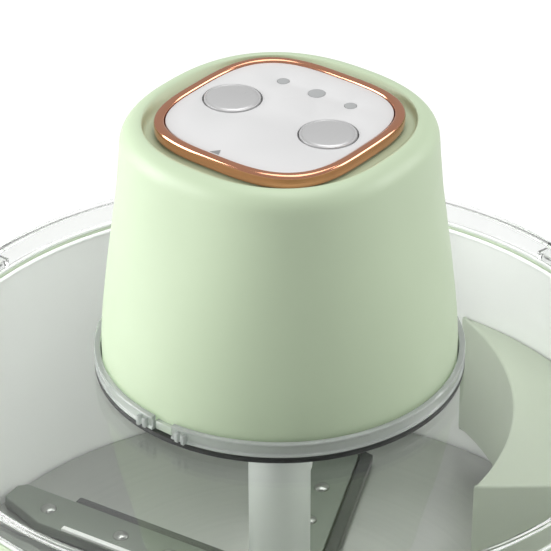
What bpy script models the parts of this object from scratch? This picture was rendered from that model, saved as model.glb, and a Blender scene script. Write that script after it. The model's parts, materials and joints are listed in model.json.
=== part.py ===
"""Electric garlic peeler: a round tub, a clear lid and a lift-off motor head.

Lengths are in metres and +Z is up. The front faces -Y and the outlet +X. The
origin is in the middle of the footprint's box, at the height of the surface that
the feet stand on. The pieces are drawn about the machine's own axis, and an
empty carries that axis to its place in the footprint.
"""
import math

import bmesh
import bpy
from mathutils import Matrix, Vector

# Fits and facets
FIT_GAP = 0.0003
MITRE_LIMIT_SHARE = 0.5
RUNNING_GAP = 0.0004
WELD_DISTANCE = 0.000005
CUT_OVERRUN = 0.004
SEAM_DEPTH = 0.0006
BIG_STEPS = 64
HEAD_STEPS = 40
MEDIUM_STEPS = 24
SMALL_STEPS = 12
SCREW_STEPS = 8

# Tub: housing, steel drum and floor
FOOT_HEIGHT = 0.0040
FOOT_RADIUS = 0.0080
DRUM_RADIUS = 0.1210
DRUM_SHEET = 0.0008
DRUM_DEPTH = 0.1020
HOUSING_WALL = 0.0019
HOUSING_FLOOR = 0.0029
PLINTH_HEIGHT = 0.0080
PLINTH_INSET = 0.0050
SKIRTING_WALL = 0.0020
BAY_HEIGHT = 0.0420
BOTTOM_PLATE_THICKNESS = 0.0025
TUB_BOSS_RADIUS = 0.0045
FOOT_EDGE_GAP = 0.0040
TUB_BOSS_ANGLES = (40, 140, 215, 325)
FOOT_STUD_RADIUS = 0.0017
FOOT_STUD_LENGTH = 0.0160
WINDOW_COUNT = 5
WINDOW_INNER_RADIUS = 0.0300
WINDOW_EDGE_GAP = 0.0055
WINDOW_ANGLE = 52

# Rotor: spindle, disc, column, arms and strips
SPINDLE_RADIUS = 0.0050
SPINDLE_LENGTH = 0.0270
SPINDLE_FLANGE_RADIUS = 0.0130
SPINDLE_FLANGE_THICKNESS = 0.0024
SPINDLE_STUB_LENGTH = 0.0080
SPINDLE_NUT_RADIUS = 0.0110
SPINDLE_NUT_THICKNESS = 0.0030
WASHER_THICKNESS = 0.0008
WASHER_RADIUS = 0.0090
DISC_EDGE_GAP = 0.0010
DISC_THICKNESS = 0.0015
DISC_CLEARANCE = 0.0065
SLOT_OFFSET = 0.0150
SLOT_WIDTH = 0.0040
SLOT_INNER_RADIUS = 0.0340
SLOT_END_GAP = 0.0320
COLUMN_RADIUS = 0.0107
COLUMN_FLANGE_RADIUS = 0.0240
COLUMN_FLANGE_THICKNESS = 0.0040
COLUMN_FILLET = 0.0040
COLUMN_HEIGHT = 0.1020
SPIGOT_RADIUS = 0.0095
HUB_NUT_RADIUS = 0.0140
SOCKET_WALL = 0.0020
SOCKET_DEPTH = 0.0220
ARM_COUNT = 5
ARM_FIRST_ANGLE = 42.5
ARM_HALF_WIDTH = 0.0090
ARM_HEIGHT = 0.0047
ARM_SHEET = 0.0012
ARM_INNER_RADIUS = 0.0265
ARM_END_GAP = 0.0020
ARM_CORNER_LENGTH = 0.0200
ARM_CORNER_WIDTH = 0.0070
ARM_CORNER_CUT = 0.0030
WIPER_WIDTH = 0.0045
WIPER_HEIGHT = 0.0060
WIPER_INNER_RADIUS = 0.0290
WIPER_END_GAP = 0.0232
ARM_LIP_WIDTH = 0.0025
ARM_LIP_RISE = 0.0010
ARM_LIP_END_GAP = 0.0300
RIVET_RADII = (0.0465, 0.0675, 0.0995)
RIVET_HEAD_RADIUS = 0.0030
RIVET_HEAD_HEIGHT = 0.0012
RIVET_CROWN_SHARES = (0.6, 0.8)
RIVET_STEPS = 8

# Guide block on the drum's right rear wall
BLOCK_HEIGHT = 0.0500
BLOCK_TOP_DEPTH = 0.0350
BLOCK_WALL = 0.0030
BLOCK_ARC_INSET = 0.0220
BLOCK_ARC_CENTRE = (-0.0410, 0.0265)
BLOCK_ARC_START = 3.9
BLOCK_TIP_GAP = 0.0008
BLOCK_FACE_ANGLE = 34.0
BLOCK_ARC_STEPS = 14
BLOCK_TIP_STEPS = 2

# Outlet on the right side
OUTLET_OFFSET = 0.0310
OUTLET_WIDTH = 0.0460
OUTLET_HEIGHT = 0.0355
OUTLET_SILL = 0.0005
SPOUT_WALL = 0.0023
SPOUT_FRAME_REACH = 0.0025
SPOUT_REACH = 0.0340
SPOUT_DROP = 0.0085
SPOUT_SIDE_HEIGHT = 0.0195
SPOUT_LIP_HEIGHT = 0.0125
GATE_THICKNESS = 0.0016
GATE_GAP = 0.0006
GATE_BARREL_RADIUS = 0.0022
GATE_PIN_RADIUS = 0.0011
GATE_EAR_WIDTH = 0.0060
GATE_EAR_RISE = 0.0032
GATE_SIDE_GAP = 0.0010
GATE_PULL_SIZE = 0.0030

# Skin drawer under the floor
DRAWER_SIDE_GAP = 0.0500
DRAWER_BACK_GAP = 0.0420
DRAWER_FRONT_STEPS = 12
DRAWER_WALL = 0.0020
DRAWER_FLOOR_THICKNESS = 0.0017
DRAWER_FRONT_THICKNESS = 0.0025
DRAWER_LIFT = 0.0050
DRAWER_HEIGHT = 0.0325
PULL_HALF_WIDTH = 0.0240
PULL_REACH = 0.0080
PULL_THICKNESS = 0.0040
PULL_DROP = 0.0090
RAIL_WIDTH = 0.0026
RAIL_HEIGHT = 0.0120
RAIL_FRONT_GAP = 0.0030
RAIL_BACK_GAP = 0.0050

# Lid with its gasket, lugs, seal and collar
GASKET_THICKNESS = 0.0010
SKIRT_HEIGHT = 0.0101
LID_WALL = 0.0022
LID_CROWN = 0.0008
LID_EDGE_BEVEL = 0.0007
LID_OPENING_RADIUS = 0.0125
LUG_CENTRES = (69.5, 189.5, 309.5)
LUG_ANGLE = 19.0
LUG_REACH = 0.0060
LUG_THICKNESS = 0.0030
EAR_THICKNESS = 0.0042
LUG_STEPS = 4
SEAL_THICKNESS = 0.0019
SEAL_WIDTH = 0.0050
COLLAR_WALL = 0.0021
COLLAR_HEIGHT = 0.0050
COLLAR_CLEARANCE = 0.0005
NOTCH_WIDTH = 0.0080
KEY_GAP = 0.0006
KEY_HEIGHT = 0.0036
KEY_REACH = 0.0014
COLLAR_BAR_WIDTH = 0.0014
COLLAR_BAR_REACH = 0.0008
COLLAR_BAR_HEIGHT = 0.0034

# Head: shell sections, from the foot to the crest of the shoulder
HEAD_RADIUS = 0.0594
HEAD_HEIGHT = 0.08885
HEAD_WALL = 0.0025
HEAD_RISE_SHARES = (0.0, 0.070, 0.230, 0.390, 0.555, 0.720, 0.850)
HEAD_SIZE_SHARES = (1.0, 1.0, 0.986, 0.954, 0.908, 0.861, 0.8350)
HEAD_SQUARE_START_SHARE = 0.26
HEAD_TOP_EXPONENT = 2.37
SHOULDER_WIDTH = 0.00653
SHOULDER_HEIGHT = 0.00765
SHOULDER_STEPS = 3
SHOULDER_OFFSET = 0.00062
GROOVE_WIDTH = 0.00495
GROOVE_DEPTH = 0.0034
RING_SEAT_WIDTH = 0.0060

# Head: panel, ring, buttons and lenses
PANEL_EXPONENT = 3.2
RING_MARGIN = 0.0020
RING_WIDTH = 0.0030
RING_HEIGHT = 0.0040
RING_LEDGE = 0.0025
RING_LEDGE_THICKNESS = 0.0015
RING_BEVEL = 0.0006
PANEL_THICKNESS = 0.0016
BUTTON_EDGE_GAP = 0.0038
BUTTON_RADIUS = 0.0093
BUTTON_RISE = 0.0007
BUTTON_CROWN_SHARES = ((0.0, 1.0), (0.7, 0.75), (1.0, 0.25))
BUTTON_FLANGE = 0.0008
BUTTON_FLANGE_THICKNESS = 0.0012
BUTTON_TRAVEL = 0.0008
BUTTON_STEM_SPARE = 0.0002
BUTTON_STEM_RADIUS = 0.0015
BUTTON_STEM_ENTRY = 0.0009
LENS_ROW_INSET = 0.0131
LENS_SPACING = 0.0144
LENS_RADII = (0.0020, 0.0034, 0.0020)
LIGHT_GUIDE_WIDTH = 0.0030
LIGHT_GUIDE_THICKNESS = 0.0016

# Head: control board
BOARD_MARGIN = 0.0015
BOARD_EXPONENT = 4.0
BOARD_THICKNESS = 0.0016
BOARD_DROP = 0.0028
BOARD_POST_INSET = 0.0085
BOARD_POST_RADIUS = 0.0030
STAKE_RADIUS = 0.0014
STAKE_HEAD_RADIUS = 0.0024
STAKE_HEAD_HEIGHT = 0.0010
SWITCH_HALF_SIZE = 0.0040
SWITCH_HEIGHT = 0.0035

# Head: drive train
HEAD_PLATE_THICKNESS = 0.0035
HEAD_PLATE_GAP = 0.0005
HEAD_BOSS_RADIUS = 0.0030
HEAD_BOSS_HEIGHT = 0.0065
HEAD_BOSS_INSET = 0.0054
HEAD_BOSS_ANGLES = (45, 225)
GEAR_MODULE = 0.00125
OUTPUT_TEETH = 34
SMALL_TEETH = 12
LARGE_TEETH = 30
PINION_TEETH = 12
TOOTH_SHARE = 0.43
ADDENDUM_SHARE = 0.85
DEDENDUM_SHARE = 1.15
TIP_SHARE = 0.42
ROOT_SHARE = 1.45
COMPOUND_ANGLE = 90.0
MOTOR_ANGLE = 230.0
GEAR_WIDTH = 0.0055
GEAR_SPACE = 0.0015
GEAR_BORE_RADIUS = 0.0020
BEARING_RADIUS = 0.0080
BEARING_WIDTH = 0.0040
BEARING_BOSS_WALL = 0.0030
SHAFT_RADIUS = 0.0040
COUPLING_RADIUS = 0.0055
COUPLING_LENGTH = 0.0265
COUPLING_CLEARANCE = 0.0010
HEX_SIDES = 6
POST_INSET = 0.0154
POST_RADIUS = 0.0035
POST_ANGLES = (15, 165, 250, 290)
MOTOR_PLATE_INSET = 0.0054
MOTOR_PLATE_THICKNESS = 0.0025
MOTOR_RADIUS = 0.0180
MOTOR_TOP_GAP = 0.00665
MOTOR_NOSE_RADIUS = 0.0055
MOTOR_NOSE_LENGTH = 0.0018
MOTOR_SHAFT_RADIUS = 0.0016
MOTOR_SHAFT_ENTRY = 0.0120

# Head: battery and charging socket
CELL_RADIUS = 0.0092
CELL_END_GAP = 0.0145
CELL_PITCH = 0.0190
CELL_OFFSET = 0.0218
HOLDER_WALL = 0.0012
HOLDER_HEIGHT = 0.0390
SOCKET_BODY_WIDTH = 0.0130
SOCKET_BODY_HEIGHT = 0.0070
SOCKET_BODY_LENGTH = 0.0110
SOCKET_MOUTH_WIDTH = 0.0092
SOCKET_MOUTH_HEIGHT = 0.0030
SOCKET_MOUTH_DEPTH = 0.0080
SOCKET_RISE = 0.0370

# Screws
SCREW_RADIUS = 0.0014
SCREW_HEAD_RADIUS = 0.0027
SCREW_HEAD_HEIGHT = 0.0012
SCREW_GAP = 0.0003

# Levels worked out from the sizes above
TUB_BOTTOM = FOOT_HEIGHT
FLOOR_BOTTOM = TUB_BOTTOM + BAY_HEIGHT
FLOOR_TOP = FLOOR_BOTTOM + HOUSING_FLOOR
DRUM_BOTTOM = FLOOR_TOP + FIT_GAP
DRUM_FLOOR = DRUM_BOTTOM + DRUM_SHEET
DISC_BOTTOM = DRUM_FLOOR + DISC_CLEARANCE
DISC_TOP = DISC_BOTTOM + DISC_THICKNESS
RIM_TOP = DRUM_FLOOR + DRUM_DEPTH
GASKET_BOTTOM = RIM_TOP + FIT_GAP
SKIRT_BOTTOM = GASKET_BOTTOM + GASKET_THICKNESS + FIT_GAP
LID_EDGE = SKIRT_BOTTOM + SKIRT_HEIGHT
LID_TOP = LID_EDGE + LID_CROWN
SEAL_BOTTOM = LID_TOP + FIT_GAP
HEAD_BOTTOM = SEAL_BOTTOM + SEAL_THICKNESS + FIT_GAP
HEAD_CREST = HEAD_BOTTOM + HEAD_HEIGHT
GROOVE_LEVEL = HEAD_CREST - GROOVE_DEPTH
RING_BOTTOM = GROOVE_LEVEL + FIT_GAP
RING_TOP = RING_BOTTOM + RING_HEIGHT
PANEL_BOTTOM = RING_BOTTOM + RING_LEDGE_THICKNESS + FIT_GAP
PANEL_TOP = PANEL_BOTTOM + PANEL_THICKNESS
BOARD_TOP = GROOVE_LEVEL - HEAD_WALL - BOARD_DROP - FIT_GAP
BOARD_BOTTOM = BOARD_TOP - BOARD_THICKNESS
SWITCH_BOTTOM = BOARD_TOP + FIT_GAP
SWITCH_TOP = SWITCH_BOTTOM + SWITCH_HEIGHT
HEAD_PLATE_TOP = HEAD_BOTTOM + HEAD_PLATE_THICKNESS
LOWER_GEAR_BOTTOM = HEAD_PLATE_TOP + BEARING_WIDTH + GEAR_SPACE
LOWER_GEAR_TOP = LOWER_GEAR_BOTTOM + GEAR_WIDTH
UPPER_GEAR_BOTTOM = LOWER_GEAR_TOP + GEAR_SPACE
UPPER_GEAR_TOP = UPPER_GEAR_BOTTOM + GEAR_WIDTH
MOTOR_PLATE_BOTTOM = UPPER_GEAR_TOP + GEAR_SPACE
MOTOR_PLATE_TOP = MOTOR_PLATE_BOTTOM + MOTOR_PLATE_THICKNESS
MOTOR_BOTTOM = MOTOR_PLATE_TOP + FIT_GAP
MOTOR_TOP = BOARD_BOTTOM - MOTOR_TOP_GAP - MOTOR_NOSE_LENGTH
ARM_BOTTOM = DISC_TOP + FIT_GAP
ARM_TOP = ARM_BOTTOM + ARM_HEIGHT
COLUMN_BOTTOM = DISC_TOP + FIT_GAP
COLUMN_TOP = COLUMN_BOTTOM + COLUMN_HEIGHT
SPINDLE_BOTTOM = DRUM_FLOOR + FIT_GAP
WASHER_BOTTOM = SPINDLE_BOTTOM + SPINDLE_FLANGE_THICKNESS + FIT_GAP
SPIGOT_BOTTOM = WASHER_BOTTOM + WASHER_THICKNESS + FIT_GAP
BLOCK_TOP = RIM_TOP - BLOCK_TOP_DEPTH
BLOCK_BOTTOM = BLOCK_TOP - BLOCK_HEIGHT
OUTLET_BOTTOM = DISC_TOP + OUTLET_SILL
OUTLET_TOP = OUTLET_BOTTOM + OUTLET_HEIGHT
DRAWER_BOTTOM = TUB_BOTTOM + DRAWER_LIFT + FIT_GAP
DRAWER_TOP = DRAWER_BOTTOM + DRAWER_HEIGHT
PLATE_BOTTOM = TUB_BOTTOM + FIT_GAP
PLATE_TOP = PLATE_BOTTOM + BOTTOM_PLATE_THICKNESS

# Radii and places worked out from the sizes above
DRUM_OUTER_RADIUS = DRUM_RADIUS + DRUM_SHEET
HOUSING_INNER_RADIUS = DRUM_OUTER_RADIUS + FIT_GAP
HOUSING_RADIUS = HOUSING_INNER_RADIUS + HOUSING_WALL
SKIRTING_RADIUS = HOUSING_RADIUS - PLINTH_INSET - SKIRTING_WALL
TUB_BOSS_CIRCLE_RADIUS = SKIRTING_RADIUS - FOOT_EDGE_GAP - FOOT_RADIUS
WINDOW_OUTER_RADIUS = TUB_BOSS_CIRCLE_RADIUS - TUB_BOSS_RADIUS - WINDOW_EDGE_GAP
DRAWER_HALF_WIDTH = SKIRTING_RADIUS - DRAWER_SIDE_GAP
DRAWER_BACK = SKIRTING_RADIUS - DRAWER_BACK_GAP
RAIL_INNER_SIDE = DRAWER_HALF_WIDTH + FIT_GAP
RAIL_OUTER_SIDE = RAIL_INNER_SIDE + RAIL_WIDTH
RAIL_FRONT = math.sqrt((SKIRTING_RADIUS - RAIL_FRONT_GAP) ** 2 - RAIL_OUTER_SIDE ** 2)
RAIL_BACK = DRAWER_BACK - RAIL_BACK_GAP
DISC_RADIUS = DRUM_RADIUS - DISC_EDGE_GAP
SLOT_OUTER_RADIUS = DISC_RADIUS - SLOT_END_GAP
ARM_OUTER_RADIUS = DISC_RADIUS - ARM_END_GAP
ARM_LIP_OUTER_RADIUS = ARM_OUTER_RADIUS - ARM_LIP_END_GAP
WIPER_OUTER_RADIUS = ARM_OUTER_RADIUS - WIPER_END_GAP
BLOCK_ARC_RADIUS = DRUM_RADIUS - BLOCK_ARC_INSET
LID_RADIUS = HOUSING_RADIUS
COLLAR_INNER_RADIUS = HEAD_RADIUS + COLLAR_CLEARANCE
COLLAR_RADIUS = COLLAR_INNER_RADIUS + COLLAR_WALL
CREST_HALF_SIZE = HEAD_RADIUS * HEAD_SIZE_SHARES[-1] - SHOULDER_OFFSET - SHOULDER_WIDTH
GROOVE_HALF_SIZE = CREST_HALF_SIZE - GROOVE_WIDTH
HEAD_OPENING_HALF_SIZE = GROOVE_HALF_SIZE - RING_SEAT_WIDTH
RING_HALF_SIZE = GROOVE_HALF_SIZE - RING_MARGIN
RING_INNER_HALF_SIZE = RING_HALF_SIZE - RING_WIDTH
BUTTON_OFFSET = RING_INNER_HALF_SIZE - BUTTON_EDGE_GAP - BUTTON_RADIUS
LENS_ROW_OFFSET = RING_INNER_HALF_SIZE - LENS_ROW_INSET
BOARD_HALF_SIZE = GROOVE_HALF_SIZE - BOARD_MARGIN
BOARD_POST_OFFSET = BOARD_HALF_SIZE - BOARD_POST_INSET
HEAD_BOSS_CIRCLE_RADIUS = HEAD_RADIUS - HEAD_BOSS_INSET
POST_CIRCLE_RADIUS = HEAD_RADIUS - POST_INSET
MOTOR_PLATE_RADIUS = HEAD_RADIUS - MOTOR_PLATE_INSET
CELL_REACH = HEAD_RADIUS - CELL_END_GAP
CELL_LENGTH = 2 * math.sqrt(CELL_REACH ** 2 - (CELL_OFFSET + CELL_RADIUS) ** 2)
SPINDLE_BORE_RADIUS = SPINDLE_RADIUS + RUNNING_GAP
SHAFT_BORE_RADIUS = SHAFT_RADIUS + RUNNING_GAP
SOCKET_HEX_RADIUS = COUPLING_RADIUS + RUNNING_GAP
SOCKET_RADIUS = SOCKET_HEX_RADIUS + SOCKET_WALL
OUTPUT_PITCH_RADIUS = GEAR_MODULE * OUTPUT_TEETH / 2
SMALL_PITCH_RADIUS = GEAR_MODULE * SMALL_TEETH / 2
LARGE_PITCH_RADIUS = GEAR_MODULE * LARGE_TEETH / 2
PINION_PITCH_RADIUS = GEAR_MODULE * PINION_TEETH / 2


def polar(radius, degrees):
    """Point in the ground plane at a radius and an angle from +X."""
    angle = math.radians(degrees)
    return Vector((radius * math.cos(angle), radius * math.sin(angle), 0.0))


COMPOUND_AXIS = polar(OUTPUT_PITCH_RADIUS + SMALL_PITCH_RADIUS, COMPOUND_ANGLE)
MOTOR_AXIS = COMPOUND_AXIS + polar(LARGE_PITCH_RADIUS + PINION_PITCH_RADIUS, MOTOR_ANGLE)
ARM_ANGLES = tuple(ARM_FIRST_ANGLE + 360 / ARM_COUNT * index for index in range(ARM_COUNT))
OUTLET_SIDES = (OUTLET_OFFSET - OUTLET_WIDTH / 2, OUTLET_OFFSET + OUTLET_WIDTH / 2)
FRAME_FACE = math.sqrt(HOUSING_RADIUS ** 2 - OUTLET_SIDES[0] ** 2) + SPOUT_FRAME_REACH
GATE_FACE = FRAME_FACE + GATE_GAP
GATE_AXIS = Vector((GATE_FACE + GATE_THICKNESS / 2, OUTLET_OFFSET,
                    OUTLET_TOP + SPOUT_WALL + GATE_BARREL_RADIUS + FIT_GAP))
LUG_RADIUS = HOUSING_RADIUS + LUG_REACH
RIGHT_REACH = FRAME_FACE + SPOUT_REACH
FRONT_REACH = HOUSING_RADIUS + PULL_REACH
REAR_REACH = polar(LUG_RADIUS, LUG_CENTRES[0] + LUG_ANGLE / 2).y
MACHINE_AXIS = Vector((LUG_RADIUS - RIGHT_REACH, FRONT_REACH - REAR_REACH, 0.0)) / 2


# Scene and materials
def clear_scene():
    """Remove every object that the file opened with."""
    for obj in list(bpy.data.objects):
        bpy.data.objects.remove(obj)


def new_collection(name):
    """Collection under the scene's own."""
    collection = bpy.data.collections.new(name)
    bpy.context.scene.collection.children.link(collection)
    return collection


def finish(name, colour, roughness, metallic=0.0, transmission=0.0):
    """Principled material with one colour."""
    material = bpy.data.materials.new(name)
    material.use_nodes = True
    shader = material.node_tree.nodes["Principled BSDF"]
    shader.inputs["Base Color"].default_value = (*colour, 1.0)
    shader.inputs["Roughness"].default_value = roughness
    shader.inputs["Metallic"].default_value = metallic
    shader.inputs["Transmission Weight"].default_value = transmission
    return material


clear_scene()
PARTS = new_collection("garlic_peeler")
CUTTERS = new_collection("cutters")
MACHINE = bpy.data.objects.new("machine_axis", None)
MACHINE.location = MACHINE_AXIS
PARTS.objects.link(MACHINE)
GREEN = finish("pastel_green", (0.56, 0.66, 0.46), 0.42)
STEEL = finish("satin_steel", (0.62, 0.63, 0.61), 0.30, metallic=1.0)
ZINC = finish("zinc_plate", (0.55, 0.56, 0.57), 0.38, metallic=1.0)
ROSE_GOLD = finish("rose_gold", (0.72, 0.44, 0.30), 0.22, metallic=1.0)
SILVER = finish("silver_panel", (0.80, 0.80, 0.80), 0.35, metallic=0.3)
CLEAR = finish("clear_plastic", (0.88, 0.90, 0.89), 0.06, transmission=0.9)
SMOKE = finish("smoked_lens", (0.35, 0.36, 0.36), 0.25)
RUBBER = finish("dark_silicone", (0.03, 0.05, 0.04), 0.55)
SOFT_GREY = finish("grey_silicone", (0.62, 0.64, 0.61), 0.50)
GREY_PLASTIC = finish("grey_plastic", (0.60, 0.63, 0.61), 0.40)
BLACK_PLASTIC = finish("black_plastic", (0.05, 0.05, 0.05), 0.50)
BRASS = finish("brass", (0.70, 0.55, 0.25), 0.30, metallic=1.0)
ACETAL = finish("white_acetal", (0.82, 0.82, 0.78), 0.40)
BOARD_GREEN = finish("board_green", (0.03, 0.22, 0.10), 0.45)
CELL_BLUE = finish("cell_sleeve", (0.08, 0.22, 0.45), 0.40)


# Mesh makers
def mesh_of(bm):
    """Mesh data from a bmesh, welded and with its faces pointing out."""
    bmesh.ops.remove_doubles(bm, verts=bm.verts, dist=WELD_DISTANCE)
    bmesh.ops.recalc_face_normals(bm, faces=bm.faces)
    if bm.calc_volume(signed=True) < 0:
        bmesh.ops.reverse_faces(bm, faces=bm.faces)
    mesh = bpy.data.meshes.new("solid")
    bm.to_mesh(mesh)
    bm.free()
    return mesh


def baked(obj):
    """Plain welded mesh of an object's evaluated shape; the object is removed."""
    bpy.context.scene.collection.objects.link(obj)
    graph = bpy.context.evaluated_depsgraph_get()
    mesh = bpy.data.meshes.new_from_object(obj.evaluated_get(graph))
    mesh.transform(obj.matrix_world)
    bpy.data.objects.remove(obj)
    bm = bmesh.new()
    bm.from_mesh(mesh)
    bpy.data.meshes.remove(mesh)
    return mesh_of(bm)


def turned(profile, steps=BIG_STEPS, closed=False):
    """Turn a profile of (radius, height) points, outer side downwards, about Z."""
    bm = bmesh.new()
    corners = [bm.verts.new((radius, 0.0, height)) for radius, height in profile]
    pairs = list(zip(corners, corners[1:]))
    if closed:
        pairs.append((corners[-1], corners[0]))
    for pair in pairs:
        bm.edges.new(pair)
    mesh = bpy.data.meshes.new("profile")
    bm.to_mesh(mesh)
    bm.free()
    obj = bpy.data.objects.new("profile", mesh)
    screw = obj.modifiers.new("turn", "SCREW")
    screw.steps = steps
    screw.render_steps = steps
    screw.use_merge_vertices = True
    screw.merge_threshold = WELD_DISTANCE
    return baked(obj)


def ring(inner, outer, bottom, top, steps=BIG_STEPS):
    """Flat ring, washer or tube."""
    profile = [(outer, top), (outer, bottom), (inner, bottom), (inner, top)]
    return turned(profile, steps, closed=True)


def cylinder(radius, bottom, top, centre=(0.0, 0.0), steps=SMALL_STEPS, turn=0.0):
    """Upright cylinder."""
    bm = bmesh.new()
    bmesh.ops.create_cone(bm, cap_ends=True, segments=steps, radius1=radius, radius2=radius,
                          depth=top - bottom)
    mesh = mesh_of(bm)
    place = Matrix.Translation((centre[0], centre[1], (top + bottom) / 2))
    mesh.transform(place @ Matrix.Rotation(math.radians(turn), 4, "Z"))
    return mesh


def box(low, high):
    """Box between two corners."""
    size = Vector(high) - Vector(low)
    middle = (Vector(high) + Vector(low)) / 2
    bm = bmesh.new()
    bmesh.ops.create_cube(bm, size=1.0)
    mesh = mesh_of(bm)
    mesh.transform(Matrix.Translation(middle) @ Matrix.Diagonal((*size, 1.0)))
    return mesh


def plate(outlines, bottom, top):
    """Flat plate from an outline of (x, y) points, and any holes after it."""
    curve = bpy.data.curves.new("outline", "CURVE")
    curve.dimensions = "2D"
    curve.fill_mode = "BOTH"
    curve.extrude = (top - bottom) / 2
    for outline in outlines:
        spline = curve.splines.new("POLY")
        spline.points.add(len(outline) - 1)
        for point, (x, y) in zip(spline.points, outline):
            point.co = (x, y, 0.0, 1.0)
        spline.use_cyclic_u = True
    mesh = baked(bpy.data.objects.new("outline", curve))
    mesh.transform(Matrix.Translation((0.0, 0.0, (top + bottom) / 2)))
    return mesh


def side_plate(outline, near, far):
    """Plate whose outline of (x, z) points runs along Y from near to far."""
    mesh = plate([outline], -far, -near)
    mesh.transform(Matrix.Rotation(math.radians(90), 4, "X"))
    return mesh


def moved(mesh, matrix):
    """Copy of a mesh, moved by a matrix."""
    copy = mesh.copy()
    copy.transform(matrix)
    return copy


def gathered(meshes):
    """One mesh that holds several separate solids."""
    bm = bmesh.new()
    for mesh in meshes:
        bm.from_mesh(mesh)
    mesh = bpy.data.meshes.new("solids")
    bm.to_mesh(mesh)
    bm.free()
    return mesh


def around(mesh, angles):
    """Copies of a mesh turned about Z, as one mesh."""
    return gathered([moved(mesh, Matrix.Rotation(math.radians(angle), 4, "Z")) for angle in angles])


# Outlines
def circle(radius, centre=(0.0, 0.0), steps=SMALL_STEPS):
    """Points round a circle."""
    points = [polar(radius, 360 / steps * index) for index in range(steps)]
    return [(centre[0] + point.x, centre[1] + point.y) for point in points]


def arc(radius, start, end, steps, centre=(0.0, 0.0)):
    """Points along an arc, both ends included."""
    points = [polar(radius, start + (end - start) * index / steps) for index in range(steps + 1)]
    return [(centre[0] + point.x, centre[1] + point.y) for point in points]


def rounded_square(half_size, exponent, steps=HEAD_STEPS):
    """Superellipse: a circle at exponent 2, squarer above."""
    points = []
    for index in range(steps):
        angle = 2 * math.pi * index / steps
        across = abs(math.cos(angle)) ** exponent
        along = abs(math.sin(angle)) ** exponent
        radius = half_size / (across + along) ** (1 / exponent)
        points.append((radius * math.cos(angle), radius * math.sin(angle)))
    return points


def sector(inner, outer, middle, spread, steps):
    """Outline of a ring's sector."""
    start = middle - spread / 2
    end = middle + spread / 2
    return arc(outer, start, end, steps) + arc(inner, end, start, steps)


def inset(outline, distance):
    """Outline moved inwards by a distance, for one that runs anticlockwise."""
    points = [Vector(point) for point in outline]
    result = []
    for index, point in enumerate(points):
        before = (point - points[index - 1]).normalized()
        after = (points[(index + 1) % len(points)] - point).normalized()
        normal = Vector((-before.y - after.y, before.x + after.x)).normalized()
        stretch = max(normal.dot(Vector((-before.y, before.x))), MITRE_LIMIT_SHARE)
        result.append(tuple(point + normal * distance / stretch))
    return result


def loft(sections, closed):
    """Skin over sections of (half_size, exponent, height)."""
    bm = bmesh.new()
    rings = []
    for half_size, exponent, height in sections:
        outline = rounded_square(half_size, exponent)
        rings.append([bm.verts.new((x, y, height)) for x, y in outline])
    pairs = list(zip(rings, rings[1:]))
    if closed:
        pairs.append((rings[-1], rings[0]))
    for upper, lower in pairs:
        for index in range(HEAD_STEPS):
            after = (index + 1) % HEAD_STEPS
            bm.faces.new((upper[index], lower[index], lower[after], upper[after]))
    return bm


def gear_outline(teeth, phase):
    """Straight-flanked gear outline; a tooth's middle lies at the phase angle."""
    pitch_radius = GEAR_MODULE * teeth / 2
    tip = pitch_radius + ADDENDUM_SHARE * GEAR_MODULE
    root = pitch_radius - DEDENDUM_SHARE * GEAR_MODULE
    half_tooth = 180 / teeth * TOOTH_SHARE
    outline = []
    for index in range(teeth):
        middle = phase + 360 / teeth * index
        for radius, side in ((root, -ROOT_SHARE), (tip, -TIP_SHARE), (tip, TIP_SHARE), (root, ROOT_SHARE)):
            point = polar(radius, middle + half_tooth * side)
            outline.append((point.x, point.y))
    return outline


# Placing and cutting
def joint_frame(name, location=(0.0, 0.0, 0.0)):
    """Empty on a joint's axis, which carries that joint's pieces."""
    empty = bpy.data.objects.new(name, None)
    empty.location = location
    empty.parent = MACHINE
    PARTS.objects.link(empty)
    return empty


def add(name, mesh, material, frame=None):
    """Named piece; its origin is on its joint's empty, where it has one."""
    obj = bpy.data.objects.new(name, mesh)
    mesh.name = name
    mesh.materials.clear()
    mesh.materials.append(material)
    obj.parent = frame or MACHINE
    if frame:
        mesh.transform(Matrix.Translation(-frame.location))
    PARTS.objects.link(obj)
    mesh.shade_smooth()
    mesh.set_sharp_from_angle(angle=math.radians(35))
    return obj


def shape(obj, operation, tool):
    """Cut a piece with a tool mesh, or join the tool to it."""
    helper = bpy.data.objects.new(f"{obj.name}_{operation.lower()}", tool)
    helper.hide_render = True
    helper.display_type = "WIRE"
    helper.parent = MACHINE
    CUTTERS.objects.link(helper)
    modifier = obj.modifiers.new(operation.lower(), "BOOLEAN")
    modifier.operation = operation
    modifier.object = helper
    return obj


def cut(obj, *tools):
    """Cut tools that don't meet out of a piece."""
    return shape(obj, "DIFFERENCE", gathered(tools))


def join(obj, *tools):
    """Join tools that don't meet to a piece."""
    return shape(obj, "UNION", gathered(tools))


def screw(head_bottom, tip):
    """Pan-head screw on Z, with its tip above its head."""
    head_top = head_bottom + SCREW_HEAD_HEIGHT
    profile = [(0.0, tip), (SCREW_RADIUS, tip), (SCREW_RADIUS, head_top), (SCREW_HEAD_RADIUS, head_top),
               (SCREW_HEAD_RADIUS, head_bottom), (0.0, head_bottom)]
    return turned(profile, SCREW_STEPS)


def screw_hole(bottom, top):
    """Clearance hole for a screw's shank."""
    return cylinder(SCREW_RADIUS + SCREW_GAP, bottom, top, steps=SCREW_STEPS)


def at(mesh, point):
    """Copy of a mesh, moved in the ground plane."""
    return moved(mesh, Matrix.Translation((point[0], point[1], 0.0)))


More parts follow.
